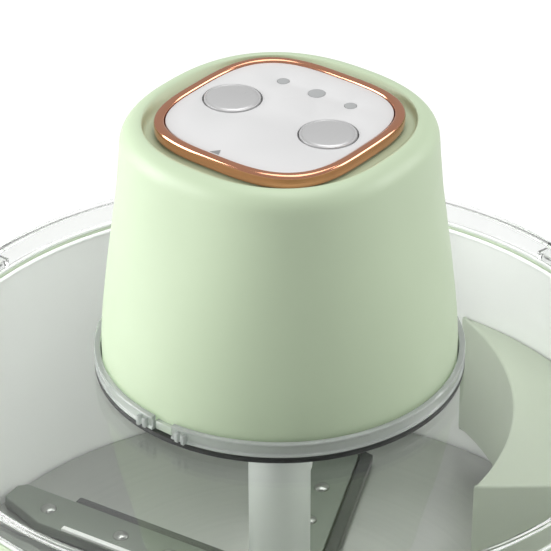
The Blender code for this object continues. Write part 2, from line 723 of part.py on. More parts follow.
# Tub
def windows(bottom, top):
    """Tools for the floor's windows, through which the skins fall."""
    spacing = 360 / WINDOW_COUNT
    outline = sector(WINDOW_INNER_RADIUS, WINDOW_OUTER_RADIUS, 0.0, WINDOW_ANGLE, MEDIUM_STEPS // 4)
    return around(plate([outline], bottom, top), [spacing * index for index in range(WINDOW_COUNT)])


def outlet_tool(margin):
    """Tool for the outlet's opening in the drum and the housing."""
    reach = HOUSING_RADIUS + CUT_OVERRUN
    start = DRUM_RADIUS / 2
    return box((start, OUTLET_SIDES[0] - margin, OUTLET_BOTTOM - margin),
               (reach, OUTLET_SIDES[1] + margin, OUTLET_TOP + margin))


def build_tub():
    """Housing, drum, bottom plate, feet, spindle and their screws."""
    bottom_radius = HOUSING_RADIUS - PLINTH_INSET
    profile = [
        (HOUSING_RADIUS, RIM_TOP),
        (HOUSING_RADIUS, TUB_BOTTOM + PLINTH_HEIGHT),
        (bottom_radius + PLINTH_INSET * math.sin(math.radians(45)),
         TUB_BOTTOM + PLINTH_HEIGHT * (1 - math.cos(math.radians(45)))),
        (bottom_radius, TUB_BOTTOM),
        (SKIRTING_RADIUS, TUB_BOTTOM),
        (SKIRTING_RADIUS, FLOOR_BOTTOM),
        (SPINDLE_RADIUS + FIT_GAP, FLOOR_BOTTOM),
        (SPINDLE_RADIUS + FIT_GAP, FLOOR_TOP),
        (HOUSING_INNER_RADIUS, FLOOR_TOP),
        (HOUSING_INNER_RADIUS, RIM_TOP),
    ]
    housing = add("base_housing", turned(profile, closed=True), GREEN)
    boss = at(cylinder(TUB_BOSS_RADIUS, PLATE_TOP + FIT_GAP, FLOOR_BOTTOM + SEAM_DEPTH, steps=SCREW_STEPS),
              (TUB_BOSS_CIRCLE_RADIUS, 0.0))
    ear_outline = sector(HOUSING_RADIUS - SEAM_DEPTH, LUG_RADIUS, 0.0, LUG_ANGLE, LUG_STEPS)
    ear = plate([ear_outline], RIM_TOP - EAR_THICKNESS, RIM_TOP)
    join(housing, around(boss, TUB_BOSS_ANGLES), around(ear, LUG_CENTRES))
    bay_half_width = DRAWER_HALF_WIDTH + FIT_GAP
    bay = box((-bay_half_width, -HOUSING_RADIUS - CUT_OVERRUN, DRAWER_BOTTOM - FIT_GAP),
              (bay_half_width, -HOUSING_RADIUS / 2, DRAWER_TOP + FIT_GAP))
    stud_top = PLATE_BOTTOM + FOOT_STUD_LENGTH
    stud_hole = at(cylinder(FOOT_STUD_RADIUS + FIT_GAP, PLATE_BOTTOM - CUT_OVERRUN, stud_top + FIT_GAP,
                            steps=SCREW_STEPS), (TUB_BOSS_CIRCLE_RADIUS, 0.0))
    floor_windows = windows(FLOOR_BOTTOM - CUT_OVERRUN, FLOOR_TOP + CUT_OVERRUN)
    cut(housing, bay, outlet_tool(SPOUT_WALL + FIT_GAP), floor_windows,
        around(stud_hole, TUB_BOSS_ANGLES))

    drum_top = RIM_TOP - FIT_GAP
    profile = [
        (DRUM_OUTER_RADIUS, drum_top),
        (DRUM_OUTER_RADIUS, DRUM_BOTTOM),
        (SPINDLE_RADIUS + FIT_GAP, DRUM_BOTTOM),
        (SPINDLE_RADIUS + FIT_GAP, DRUM_FLOOR),
        (DRUM_RADIUS, DRUM_FLOOR),
        (DRUM_RADIUS, drum_top),
    ]
    drum = add("steel_drum", turned(profile, closed=True), STEEL)
    cut(drum, outlet_tool(0.0), windows(FLOOR_BOTTOM, DRUM_FLOOR + CUT_OVERRUN))

    plate_radius = SKIRTING_RADIUS * math.cos(math.pi / BIG_STEPS) - FIT_GAP
    disc = cylinder(plate_radius, PLATE_BOTTOM, PLATE_TOP, steps=BIG_STEPS)
    bottom = add("bottom_plate", disc, GREY_PLASTIC)
    cut(bottom, around(stud_hole, TUB_BOSS_ANGLES))
    for side in (RAIL_INNER_SIDE, -RAIL_OUTER_SIDE):
        join(bottom, box((side, -RAIL_FRONT, PLATE_TOP - SEAM_DEPTH),
                         (side + RAIL_WIDTH, RAIL_BACK, PLATE_TOP + RAIL_HEIGHT)))

    foot_top = PLATE_BOTTOM - FIT_GAP
    foot_profile = [
        (0.0, stud_top),
        (FOOT_STUD_RADIUS, stud_top),
        (FOOT_STUD_RADIUS, foot_top),
        (FOOT_RADIUS, foot_top),
        (FOOT_RADIUS, FOOT_HEIGHT / 4),
        (FOOT_RADIUS - FOOT_HEIGHT / 4, 0.0),
        (0.0, 0.0),
    ]
    foot = turned(foot_profile, SMALL_STEPS)
    for number, angle in enumerate(TUB_BOSS_ANGLES, start=1):
        add(f"rubber_foot_{number}", at(foot, polar(TUB_BOSS_CIRCLE_RADIUS, angle)), RUBBER)


def build_spindle():
    """Fixed spindle under the rotor, with its nut and thrust washer."""
    flange_top = SPINDLE_BOTTOM + SPINDLE_FLANGE_THICKNESS
    profile = [
        (0.0, SPINDLE_BOTTOM + SPINDLE_LENGTH),
        (SPINDLE_RADIUS, SPINDLE_BOTTOM + SPINDLE_LENGTH),
        (SPINDLE_RADIUS, flange_top),
        (SPINDLE_FLANGE_RADIUS, flange_top),
        (SPINDLE_FLANGE_RADIUS, SPINDLE_BOTTOM),
        (SPINDLE_RADIUS, SPINDLE_BOTTOM),
        (SPINDLE_RADIUS, SPINDLE_BOTTOM - SPINDLE_STUB_LENGTH),
        (0.0, SPINDLE_BOTTOM - SPINDLE_STUB_LENGTH),
    ]
    add("rotor_spindle", turned(profile, SMALL_STEPS), STEEL)
    nut_top = FLOOR_BOTTOM - FIT_GAP
    nut = plate([circle(SPINDLE_NUT_RADIUS, steps=HEX_SIDES), circle(SPINDLE_RADIUS + FIT_GAP)],
                nut_top - SPINDLE_NUT_THICKNESS, nut_top)
    add("spindle_nut", nut, ZINC)
    washer_top = WASHER_BOTTOM + WASHER_THICKNESS
    washer = ring(SPINDLE_BORE_RADIUS, WASHER_RADIUS, WASHER_BOTTOM, washer_top, SMALL_STEPS)
    add("thrust_washer", washer, BRASS)


def block_arc_end(reach):
    """Angle at which the guide block's inner arc comes to a reach from the machine's axis."""
    centre = Vector(BLOCK_ARC_CENTRE)
    rise = reach ** 2 - centre.length_squared - BLOCK_ARC_RADIUS ** 2
    cosine = rise / (2 * BLOCK_ARC_RADIUS * centre.length)
    return math.degrees(math.atan2(centre.y, centre.x) - math.acos(cosine))


def block_outline():
    """Outline of the guide block: flat face, drum wall, then the inner arc back."""
    wall_radius = DRUM_RADIUS * math.cos(math.pi / BIG_STEPS) - FIT_GAP
    arc_end = block_arc_end(wall_radius - BLOCK_TIP_GAP)
    inner = arc(BLOCK_ARC_RADIUS, arc_end, BLOCK_ARC_START, BLOCK_ARC_STEPS, BLOCK_ARC_CENTRE)
    last = math.degrees(math.atan2(inner[0][1], inner[0][0]))
    outer = arc(wall_radius, BLOCK_FACE_ANGLE, last, BLOCK_ARC_STEPS)
    return outer + inner


def build_guide_block():
    """Guide block: a shell that is open below."""
    outline = block_outline()
    block = add("guide_block", plate([outline], BLOCK_BOTTOM, BLOCK_TOP), GREEN)
    hollow = inset(outline, BLOCK_WALL)
    tip = BLOCK_ARC_STEPS + 1
    hollow = hollow[:tip - BLOCK_TIP_STEPS] + hollow[tip + BLOCK_TIP_STEPS:]
    cut(block, plate([hollow], BLOCK_BOTTOM - CUT_OVERRUN, BLOCK_TOP - BLOCK_WALL))


def build_outlet():
    """Spout, swinging gate and the gate's pin."""
    near = OUTLET_SIDES[0] - SPOUT_WALL
    far = OUTLET_SIDES[1] + SPOUT_WALL
    frame_top = OUTLET_TOP + SPOUT_WALL
    frame_bottom = OUTLET_BOTTOM - SPOUT_WALL
    back = HOUSING_RADIUS / 2
    lip = RIGHT_REACH
    profile = [
        (back, frame_top), (back, frame_bottom), (FRAME_FACE, frame_bottom),
        (lip, frame_bottom - SPOUT_DROP),
        (lip, OUTLET_BOTTOM - SPOUT_DROP + SPOUT_LIP_HEIGHT),
        (FRAME_FACE, OUTLET_BOTTOM + SPOUT_SIDE_HEIGHT), (FRAME_FACE, frame_top),
    ]
    spout = add("outlet_spout", side_plate(profile, near, far), GREEN)
    ear_low = (GATE_AXIS.x - GATE_EAR_WIDTH / 2, near, OUTLET_TOP)
    ear_high = (GATE_AXIS.x + GATE_EAR_WIDTH / 2, OUTLET_SIDES[0], GATE_AXIS.z + GATE_EAR_RISE)
    ear = box(ear_low, ear_high)
    shift = Matrix.Translation((0.0, OUTLET_WIDTH + SPOUT_WALL, 0.0))
    join(spout, ear, moved(ear, shift))
    passage = box((back - CUT_OVERRUN, OUTLET_SIDES[0], OUTLET_BOTTOM),
                  (FRAME_FACE + CUT_OVERRUN, OUTLET_SIDES[1], OUTLET_TOP))
    cut(spout, passage)
    end = lip + CUT_OVERRUN
    end_drop = SPOUT_DROP * (1 + CUT_OVERRUN / SPOUT_REACH)
    trough = [(FRAME_FACE, OUTLET_BOTTOM), (end, OUTLET_BOTTOM - end_drop), (end, OUTLET_TOP),
              (FRAME_FACE, OUTLET_TOP)]
    cut(spout, side_plate(trough, *OUTLET_SIDES))
    cut(spout, cylinder(HOUSING_INNER_RADIUS + FIT_GAP, frame_bottom - CUT_OVERRUN, frame_top + CUT_OVERRUN,
                        steps=BIG_STEPS))
    along_y = Matrix.Translation(GATE_AXIS) @ Matrix.Rotation(math.radians(90), 4, "X")
    pin_half_length = OUTLET_WIDTH / 2 + SPOUT_WALL
    pin_hole = cylinder(GATE_PIN_RADIUS + RUNNING_GAP / 2, -pin_half_length - CUT_OVERRUN,
                        pin_half_length + CUT_OVERRUN)
    cut(spout, moved(pin_hole, along_y))
    add("gate_pin", moved(cylinder(GATE_PIN_RADIUS, -pin_half_length, pin_half_length), along_y), STEEL)

    hinge = joint_frame("gate_hinge", GATE_AXIS)
    half_width = OUTLET_WIDTH / 2 - GATE_SIDE_GAP
    flap = box((GATE_FACE, OUTLET_OFFSET - half_width, OUTLET_BOTTOM + GATE_SIDE_GAP),
               (GATE_FACE + GATE_THICKNESS, OUTLET_OFFSET + half_width, GATE_AXIS.z))
    gate = add("outlet_gate", flap, GREEN, hinge)
    flap_front = GATE_FACE + GATE_THICKNESS
    pull_bottom = OUTLET_BOTTOM + GATE_PULL_SIZE
    pull = box((flap_front - SEAM_DEPTH, OUTLET_OFFSET - half_width / 2, pull_bottom),
               (flap_front + GATE_PULL_SIZE, OUTLET_OFFSET + half_width / 2, pull_bottom + GATE_PULL_SIZE))
    join(gate, moved(cylinder(GATE_BARREL_RADIUS, -half_width, half_width), along_y), pull)
    cut(gate, moved(pin_hole, along_y))


def drawer_outline(front_radius, half_width, back):
    """Outline of the drawer: a round front between two straight sides."""
    reach = math.degrees(math.asin(half_width / front_radius))
    front = arc(front_radius, -90 - reach, -90 + reach, DRAWER_FRONT_STEPS)
    return front + [(half_width, back), (-half_width, back)]


def build_drawer():
    """Skin drawer, open at its top."""
    slide = joint_frame("drawer_slide")
    inner_radius = HOUSING_RADIUS - DRAWER_FRONT_THICKNESS
    outline = drawer_outline(HOUSING_RADIUS, DRAWER_HALF_WIDTH, DRAWER_BACK)
    drawer = add("skin_drawer", plate([outline], DRAWER_BOTTOM, DRAWER_TOP), GREEN, slide)
    hollow = drawer_outline(inner_radius, DRAWER_HALF_WIDTH - DRAWER_WALL, DRAWER_BACK - DRAWER_WALL)
    cut(drawer, plate([hollow], DRAWER_BOTTOM + DRAWER_FLOOR_THICKNESS, DRAWER_TOP + CUT_OVERRUN))
    pull_top = DRAWER_TOP - PULL_DROP
    join(drawer, box((-PULL_HALF_WIDTH, -FRONT_REACH, pull_top - PULL_THICKNESS),
                     (PULL_HALF_WIDTH, -inner_radius - SEAM_DEPTH, pull_top)))


# Rotor
def build_rotor():
    """Disc, column, drive socket, hub nut, riveted arms and wiper strips."""
    axis = joint_frame("rotor_axis")
    hole_radius = SPIGOT_RADIUS + FIT_GAP
    disc = add("peeling_disc", ring(hole_radius, DISC_RADIUS, DISC_BOTTOM, DISC_TOP), STEEL, axis)
    slot = box((SLOT_INNER_RADIUS, SLOT_OFFSET - SLOT_WIDTH / 2, DISC_BOTTOM - CUT_OVERRUN),
               (SLOT_OUTER_RADIUS, SLOT_OFFSET + SLOT_WIDTH / 2, DISC_TOP + CUT_OVERRUN))
    cut(disc, around(slot, ARM_ANGLES))

    flange_top = COLUMN_BOTTOM + COLUMN_FLANGE_THICKNESS
    socket_bottom = COLUMN_TOP - SOCKET_DEPTH
    bore_radius = SOCKET_RADIUS + FIT_GAP
    spindle_top = SPINDLE_BOTTOM + SPINDLE_LENGTH
    profile = [
        (COLUMN_RADIUS, COLUMN_TOP),
        (COLUMN_RADIUS, flange_top + COLUMN_FILLET),
        (COLUMN_RADIUS + COLUMN_FILLET * (1 - math.cos(math.radians(45))),
         flange_top + COLUMN_FILLET * (1 - math.sin(math.radians(45)))),
        (COLUMN_RADIUS + COLUMN_FILLET, flange_top),
        (COLUMN_FLANGE_RADIUS, flange_top),
        (COLUMN_FLANGE_RADIUS, COLUMN_BOTTOM),
        (SPIGOT_RADIUS, COLUMN_BOTTOM),
        (SPIGOT_RADIUS, SPIGOT_BOTTOM),
        (SPINDLE_BORE_RADIUS, SPIGOT_BOTTOM),
        (SPINDLE_BORE_RADIUS, spindle_top + FIT_GAP),
        (0.0, spindle_top + FIT_GAP),
    ]
    bore_bottom = socket_bottom - FIT_GAP
    bore_profile = [(0.0, bore_bottom), (bore_radius, bore_bottom), (bore_radius, COLUMN_TOP)]
    add("drive_column", turned(bore_profile + profile, MEDIUM_STEPS), GREY_PLASTIC, axis)
    socket_outlines = [circle(SOCKET_RADIUS), circle(SOCKET_HEX_RADIUS, steps=HEX_SIDES)]
    add("drive_socket", plate(socket_outlines, socket_bottom, COLUMN_TOP), STEEL, axis)
    nut_top = DISC_BOTTOM - FIT_GAP
    nut_outlines = [circle(HUB_NUT_RADIUS, steps=HEX_SIDES), circle(hole_radius, steps=MEDIUM_STEPS)]
    add("hub_nut", plate(nut_outlines, SPIGOT_BOTTOM, nut_top), ZINC, axis)

    outline = [
        (ARM_INNER_RADIUS, -ARM_HALF_WIDTH),
        (ARM_OUTER_RADIUS - ARM_CORNER_CUT, -ARM_HALF_WIDTH),
        (ARM_OUTER_RADIUS, -ARM_HALF_WIDTH + ARM_CORNER_CUT),
        (ARM_OUTER_RADIUS, ARM_HALF_WIDTH - ARM_CORNER_WIDTH),
        (ARM_OUTER_RADIUS - ARM_CORNER_LENGTH, ARM_HALF_WIDTH),
        (ARM_INNER_RADIUS, ARM_HALF_WIDTH),
    ]
    channel = plate([inset(outline, ARM_SHEET)], ARM_BOTTOM - CUT_OVERRUN, ARM_TOP - ARM_SHEET)
    rivet_top = ARM_TOP + RIVET_HEAD_HEIGHT
    rivet_profile = [
        (0.0, rivet_top),
        (RIVET_HEAD_RADIUS * RIVET_CROWN_SHARES[0], ARM_TOP + RIVET_HEAD_HEIGHT * RIVET_CROWN_SHARES[1]),
        (RIVET_HEAD_RADIUS, ARM_TOP),
        (RIVET_HEAD_RADIUS, ARM_TOP - SEAM_DEPTH),
        (0.0, ARM_TOP - SEAM_DEPTH),
    ]
    rivet = turned(rivet_profile, RIVET_STEPS)
    lip = box((ARM_INNER_RADIUS + ARM_SHEET, ARM_HALF_WIDTH - ARM_LIP_WIDTH, ARM_TOP - SEAM_DEPTH),
              (ARM_LIP_OUTER_RADIUS, ARM_HALF_WIDTH - FIT_GAP, ARM_TOP + ARM_LIP_RISE))
    wiper = box((WIPER_INNER_RADIUS, -ARM_HALF_WIDTH - FIT_GAP - WIPER_WIDTH, ARM_BOTTOM),
                (WIPER_OUTER_RADIUS, -ARM_HALF_WIDTH - FIT_GAP, ARM_BOTTOM + WIPER_HEIGHT))
    arm_solid = plate([outline], ARM_BOTTOM, ARM_TOP)
    for number, angle in enumerate(ARM_ANGLES, start=1):
        turn = Matrix.Rotation(math.radians(angle), 4, "Z")
        arm = add(f"rotor_arm_{number}", moved(arm_solid, turn), STEEL, axis)
        cut(arm, moved(channel, turn))
        join(arm, moved(lip, turn), *[moved(at(rivet, (radius, 0.0)), turn) for radius in RIVET_RADII])
        add(f"wiper_strip_{number}", moved(wiper, turn), RUBBER, axis)


# Lid
def build_lid():
    """Clear lid with lugs, its gasket, and the seal and collar for the head."""
    slide = joint_frame("lid_lift")
    inner = LID_RADIUS - LID_WALL
    profile = [
        (LID_OPENING_RADIUS, LID_TOP),
        (COLLAR_RADIUS, LID_TOP),
        (LID_RADIUS - LID_EDGE_BEVEL, LID_EDGE),
        (LID_RADIUS, LID_EDGE - LID_EDGE_BEVEL),
        (LID_RADIUS, SKIRT_BOTTOM),
        (inner, SKIRT_BOTTOM),
        (inner, LID_EDGE - LID_WALL),
        (COLLAR_RADIUS, LID_TOP - LID_WALL),
        (LID_OPENING_RADIUS, LID_TOP - LID_WALL),
    ]
    lid = add("clear_lid", turned(profile, closed=True), CLEAR, slide)
    lug_outline = sector(LID_RADIUS - SEAM_DEPTH, LUG_RADIUS, 0.0, LUG_ANGLE, LUG_STEPS)
    lug = plate([lug_outline], SKIRT_BOTTOM, SKIRT_BOTTOM + LUG_THICKNESS)
    join(lid, around(lug, LUG_CENTRES))
    gasket = ring(inner, LID_RADIUS - FIT_GAP, GASKET_BOTTOM, GASKET_BOTTOM + GASKET_THICKNESS)
    add("lid_gasket", gasket, SOFT_GREY, slide)
    seal_top = SEAL_BOTTOM + SEAL_THICKNESS
    seal = ring(COLLAR_RADIUS - SEAL_WIDTH, COLLAR_RADIUS, SEAL_BOTTOM, seal_top, HEAD_STEPS)
    add("head_seal", seal, RUBBER, slide)
    collar_top = HEAD_BOTTOM + COLLAR_HEIGHT
    band = ring(COLLAR_INNER_RADIUS, COLLAR_RADIUS, HEAD_BOTTOM, collar_top, HEAD_STEPS)
    collar = add("head_collar", band, CLEAR, slide)
    notch = box((-NOTCH_WIDTH / 2, -COLLAR_RADIUS - CUT_OVERRUN, HEAD_BOTTOM - CUT_OVERRUN),
                (NOTCH_WIDTH / 2, -COLLAR_INNER_RADIUS + CUT_OVERRUN, collar_top + CUT_OVERRUN))
    bar_front = -COLLAR_RADIUS - COLLAR_BAR_REACH
    bar_back = -COLLAR_INNER_RADIUS - SEAM_DEPTH * 2
    for side in (-1, 1):
        middle = side * NOTCH_WIDTH
        join(collar, box((middle - COLLAR_BAR_WIDTH / 2, bar_front, HEAD_BOTTOM + FIT_GAP),
                         (middle + COLLAR_BAR_WIDTH / 2, bar_back, HEAD_BOTTOM + COLLAR_BAR_HEIGHT)))
    cut(collar, notch)


# Head
def head_exponent(share):
    """How square a section of the head is, from its share of the height."""
    blend = min(max((share - HEAD_SQUARE_START_SHARE) / (1 - HEAD_SQUARE_START_SHARE), 0.0), 1.0)
    return 2 + (HEAD_TOP_EXPONENT - 2) * blend * blend * (3 - 2 * blend)


def head_sections():
    """Sections of the head's outer surface, from its foot to its top opening."""
    sections = []
    for rise, size in zip(HEAD_RISE_SHARES, HEAD_SIZE_SHARES):
        sections.append((HEAD_RADIUS * size, head_exponent(rise), HEAD_BOTTOM + HEAD_HEIGHT * rise))
    for step in range(SHOULDER_STEPS + 1):
        angle = math.radians(90 * step / SHOULDER_STEPS)
        size = CREST_HALF_SIZE + SHOULDER_WIDTH * math.cos(angle)
        height = HEAD_CREST - SHOULDER_HEIGHT * (1 - math.sin(angle))
        share = (height - HEAD_BOTTOM) / HEAD_HEIGHT
        sections.append((size, head_exponent(share), height))
    groove_middle = (CREST_HALF_SIZE + GROOVE_HALF_SIZE) / 2
    middle_exponent = (HEAD_TOP_EXPONENT + PANEL_EXPONENT) / 2
    sections.append((groove_middle, middle_exponent, HEAD_CREST - GROOVE_DEPTH / 2))
    sections.append((GROOVE_HALF_SIZE, PANEL_EXPONENT, GROOVE_LEVEL))
    sections.append((HEAD_OPENING_HALF_SIZE, PANEL_EXPONENT, GROOVE_LEVEL))
    return sections


def board_posts():
    """Places of the posts that carry the control board."""
    offset = BOARD_POST_OFFSET
    return [(x, y) for x in (-offset, offset) for y in (-offset, offset)]


def build_head_shell():
    """Green shell of the head, with its bosses, posts, key and socket hole."""
    bm = loft(head_sections(), closed=False)
    bmesh.ops.recalc_face_normals(bm, faces=bm.faces)
    if sum(face.normal.dot(face.calc_center_median().to_2d().to_3d()) for face in bm.faces) < 0:
        bmesh.ops.reverse_faces(bm, faces=bm.faces)
    mesh = bpy.data.meshes.new("shell")
    bm.to_mesh(mesh)
    bm.free()
    obj = bpy.data.objects.new("shell", mesh)
    solidify = obj.modifiers.new("wall", "SOLIDIFY")
    solidify.thickness = HEAD_WALL
    solidify.offset = -1.0
    frame = joint_frame("head_lift")
    shell = add("head_housing", baked(obj), GREEN, frame)
    boss_bottom = HEAD_PLATE_TOP + FIT_GAP
    boss = at(cylinder(HEAD_BOSS_RADIUS, boss_bottom, boss_bottom + HEAD_BOSS_HEIGHT, steps=SCREW_STEPS),
              (HEAD_BOSS_CIRCLE_RADIUS, 0.0))
    post_profile = [
        (0.0, GROOVE_LEVEL - HEAD_WALL / 2),
        (BOARD_POST_RADIUS, GROOVE_LEVEL - HEAD_WALL / 2),
        (BOARD_POST_RADIUS, BOARD_TOP + FIT_GAP),
        (STAKE_RADIUS, BOARD_TOP + FIT_GAP),
        (STAKE_RADIUS, BOARD_BOTTOM - FIT_GAP),
        (STAKE_HEAD_RADIUS, BOARD_BOTTOM - FIT_GAP),
        (STAKE_RADIUS, BOARD_BOTTOM - FIT_GAP - STAKE_HEAD_HEIGHT),
        (0.0, BOARD_BOTTOM - FIT_GAP - STAKE_HEAD_HEIGHT),
    ]
    post = turned(post_profile, SCREW_STEPS)
    key_half_width = NOTCH_WIDTH / 2 - KEY_GAP
    key = box((-key_half_width, -HEAD_RADIUS - KEY_REACH, HEAD_BOTTOM + FIT_GAP),
              (key_half_width, -HEAD_RADIUS + HEAD_WALL / 2, HEAD_BOTTOM + KEY_HEIGHT))
    join(shell, around(boss, HEAD_BOSS_ANGLES), *[at(post, place) for place in board_posts()], key)
    socket_middle = HEAD_BOTTOM + SOCKET_RISE
    half_width = SOCKET_BODY_WIDTH / 2 + FIT_GAP
    half_height = SOCKET_BODY_HEIGHT / 2 + FIT_GAP
    socket_hole = box((-half_width, HEAD_RADIUS / 2, socket_middle - half_height),
                      (half_width, HEAD_RADIUS + CUT_OVERRUN, socket_middle + half_height))
    boss_hole = at(screw_hole(HEAD_PLATE_TOP, boss_bottom + HEAD_BOSS_HEIGHT - FIT_GAP * 2),
                   (HEAD_BOSS_CIRCLE_RADIUS, 0.0))
    cut(shell, socket_hole, around(boss_hole, HEAD_BOSS_ANGLES))
    return frame


def build_panel(frame):
    """Rose-gold ring, silver panel, lenses and the two buttons."""
    inner = RING_INNER_HALF_SIZE
    ledge_top = RING_BOTTOM + RING_LEDGE_THICKNESS
    loop = [
        (RING_HALF_SIZE, RING_BOTTOM),
        (RING_HALF_SIZE, RING_TOP - RING_BEVEL),
        (RING_HALF_SIZE - RING_BEVEL, RING_TOP),
        (inner + RING_BEVEL, RING_TOP),
        (inner, RING_TOP - RING_BEVEL),
        (inner, ledge_top),
        (inner - RING_LEDGE, ledge_top),
        (inner - RING_LEDGE, RING_BOTTOM),
    ]
    sections = [(size, PANEL_EXPONENT, height) for size, height in loop]
    add("trim_ring", mesh_of(loft(sections, closed=True)), ROSE_GOLD, frame)

    centres = [(-BUTTON_OFFSET, 0.0), (BUTTON_OFFSET, 0.0)]
    lens_places = [(LENS_SPACING * step, LENS_ROW_OFFSET) for step in (-1, 0, 1)]
    outlines = [rounded_square(inner - FIT_GAP, PANEL_EXPONENT)]
    outlines += [circle(BUTTON_RADIUS + FIT_GAP, centre, MEDIUM_STEPS) for centre in centres]
    outlines += [circle(radius + FIT_GAP, place) for radius, place in zip(LENS_RADII, lens_places)]
    add("control_panel", plate(outlines, PANEL_BOTTOM, PANEL_TOP), SILVER, frame)
    guide_side = LIGHT_GUIDE_WIDTH / 2
    guide = box((-LENS_SPACING, LENS_ROW_OFFSET - guide_side, SWITCH_BOTTOM),
                (LENS_SPACING, LENS_ROW_OFFSET + guide_side, SWITCH_BOTTOM + LIGHT_GUIDE_THICKNESS))
    lenses = add("indicator_lenses", guide, SMOKE, frame)
    for radius, place in zip(LENS_RADII, lens_places):
        join(lenses, cylinder(radius, SWITCH_BOTTOM, PANEL_TOP, place))

    flange_top = PANEL_BOTTOM - FIT_GAP
    flange_bottom = flange_top - BUTTON_FLANGE_THICKNESS
    flange_radius = BUTTON_RADIUS + FIT_GAP + BUTTON_FLANGE
    profile = [(BUTTON_RADIUS * across, PANEL_TOP + BUTTON_RISE * up) for across, up in BUTTON_CROWN_SHARES]
    profile += [
        (BUTTON_RADIUS, flange_top),
        (flange_radius, flange_top),
        (flange_radius, flange_bottom),
        (BUTTON_STEM_RADIUS, flange_bottom),
        (BUTTON_STEM_RADIUS, SWITCH_TOP - BUTTON_STEM_ENTRY),
        (0.0, SWITCH_TOP - BUTTON_STEM_ENTRY),
    ]
    button = turned(profile, MEDIUM_STEPS)
    switch = box((-SWITCH_HALF_SIZE, -SWITCH_HALF_SIZE, SWITCH_BOTTOM),
                 (SWITCH_HALF_SIZE, SWITCH_HALF_SIZE, SWITCH_TOP))
    bore_bottom = SWITCH_TOP - BUTTON_STEM_ENTRY - BUTTON_TRAVEL - BUTTON_STEM_SPARE
    bore = cylinder(BUTTON_STEM_RADIUS + FIT_GAP, bore_bottom, SWITCH_TOP + CUT_OVERRUN)
    for name, centre in zip(("peel", "eject"), centres):
        press = joint_frame(f"{name}_button_press", (*centre, PANEL_TOP))
        add(f"{name}_button", at(button, centre), SILVER, press)
        cut(add(f"{name}_switch", at(switch, centre), BLACK_PLASTIC, frame), at(bore, centre))
    outlines = [rounded_square(BOARD_HALF_SIZE, BOARD_EXPONENT, MEDIUM_STEPS)]
    outlines += [circle(STAKE_RADIUS + SCREW_GAP, place, SCREW_STEPS) for place in board_posts()]
    add("control_board", plate(outlines, BOARD_BOTTOM, BOARD_TOP), BOARD_GREEN, frame)


def build_head_plate(frame):
    """Plate that closes the head below and carries the gear posts."""
    radius = (HEAD_RADIUS - HEAD_WALL) * math.cos(math.pi / HEAD_STEPS) - HEAD_PLATE_GAP
    bearing_seat = BEARING_RADIUS + FIT_GAP
    coupling_hole = COUPLING_RADIUS + COUPLING_CLEARANCE
    profile = [
        (bearing_seat + BEARING_BOSS_WALL, HEAD_PLATE_TOP + BEARING_WIDTH),
        (bearing_seat + BEARING_BOSS_WALL, HEAD_PLATE_TOP),
        (radius, HEAD_PLATE_TOP),
        (radius, HEAD_BOTTOM),
        (coupling_hole, HEAD_BOTTOM),
        (coupling_hole, HEAD_PLATE_TOP - FIT_GAP),
        (bearing_seat, HEAD_PLATE_TOP - FIT_GAP),
        (bearing_seat, HEAD_PLATE_TOP + BEARING_WIDTH),
    ]
    plate_obj = add("head_base_plate", turned(profile, HEAD_STEPS, closed=True), GREY_PLASTIC, frame)
    post_profile = [
        (0.0, MOTOR_PLATE_TOP + FIT_GAP + STAKE_HEAD_HEIGHT),
        (STAKE_RADIUS, MOTOR_PLATE_TOP + FIT_GAP + STAKE_HEAD_HEIGHT),
        (STAKE_HEAD_RADIUS, MOTOR_PLATE_TOP + FIT_GAP),
        (STAKE_RADIUS, MOTOR_PLATE_TOP + FIT_GAP),
        (STAKE_RADIUS, MOTOR_PLATE_BOTTOM - FIT_GAP),
        (POST_RADIUS, MOTOR_PLATE_BOTTOM - FIT_GAP),
        (POST_RADIUS, HEAD_PLATE_TOP - SEAM_DEPTH),
        (0.0, HEAD_PLATE_TOP - SEAM_DEPTH),
    ]
    post = at(turned(post_profile, SCREW_STEPS), (POST_CIRCLE_RADIUS, 0.0))
    pin_boss_top = LOWER_GEAR_BOTTOM - GEAR_SPACE / 2
    pin_boss = cylinder(GEAR_BORE_RADIUS * 2, HEAD_PLATE_TOP - SEAM_DEPTH, pin_boss_top, COMPOUND_AXIS,
                        SCREW_STEPS)
    join(plate_obj, around(post, POST_ANGLES), pin_boss)
    place = (HEAD_BOSS_CIRCLE_RADIUS, 0.0)
    below = HEAD_BOTTOM - CUT_OVERRUN
    hole = at(screw_hole(below, HEAD_PLATE_TOP + CUT_OVERRUN), place)
    recess_top = HEAD_BOTTOM + SCREW_HEAD_HEIGHT + FIT_GAP * 2
    recess = at(cylinder(SCREW_HEAD_RADIUS + SCREW_GAP, below, recess_top, steps=SCREW_STEPS), place)
    pin_hole = cylinder(GEAR_BORE_RADIUS + FIT_GAP, HEAD_PLATE_TOP, LOWER_GEAR_BOTTOM, COMPOUND_AXIS,
                        SCREW_STEPS)
    cut(plate_obj, around(hole, HEAD_BOSS_ANGLES), pin_hole)
    cut(plate_obj, around(recess, HEAD_BOSS_ANGLES))
    plate_screw = screw(HEAD_BOTTOM + FIT_GAP, HEAD_PLATE_TOP + HEAD_BOSS_HEIGHT - FIT_GAP * 2)
    for number, angle in enumerate(HEAD_BOSS_ANGLES, start=1):
        placed = at(plate_screw, polar(HEAD_BOSS_CIRCLE_RADIUS, angle))
        add(f"head_plate_screw_{number}", placed, ZINC, frame)


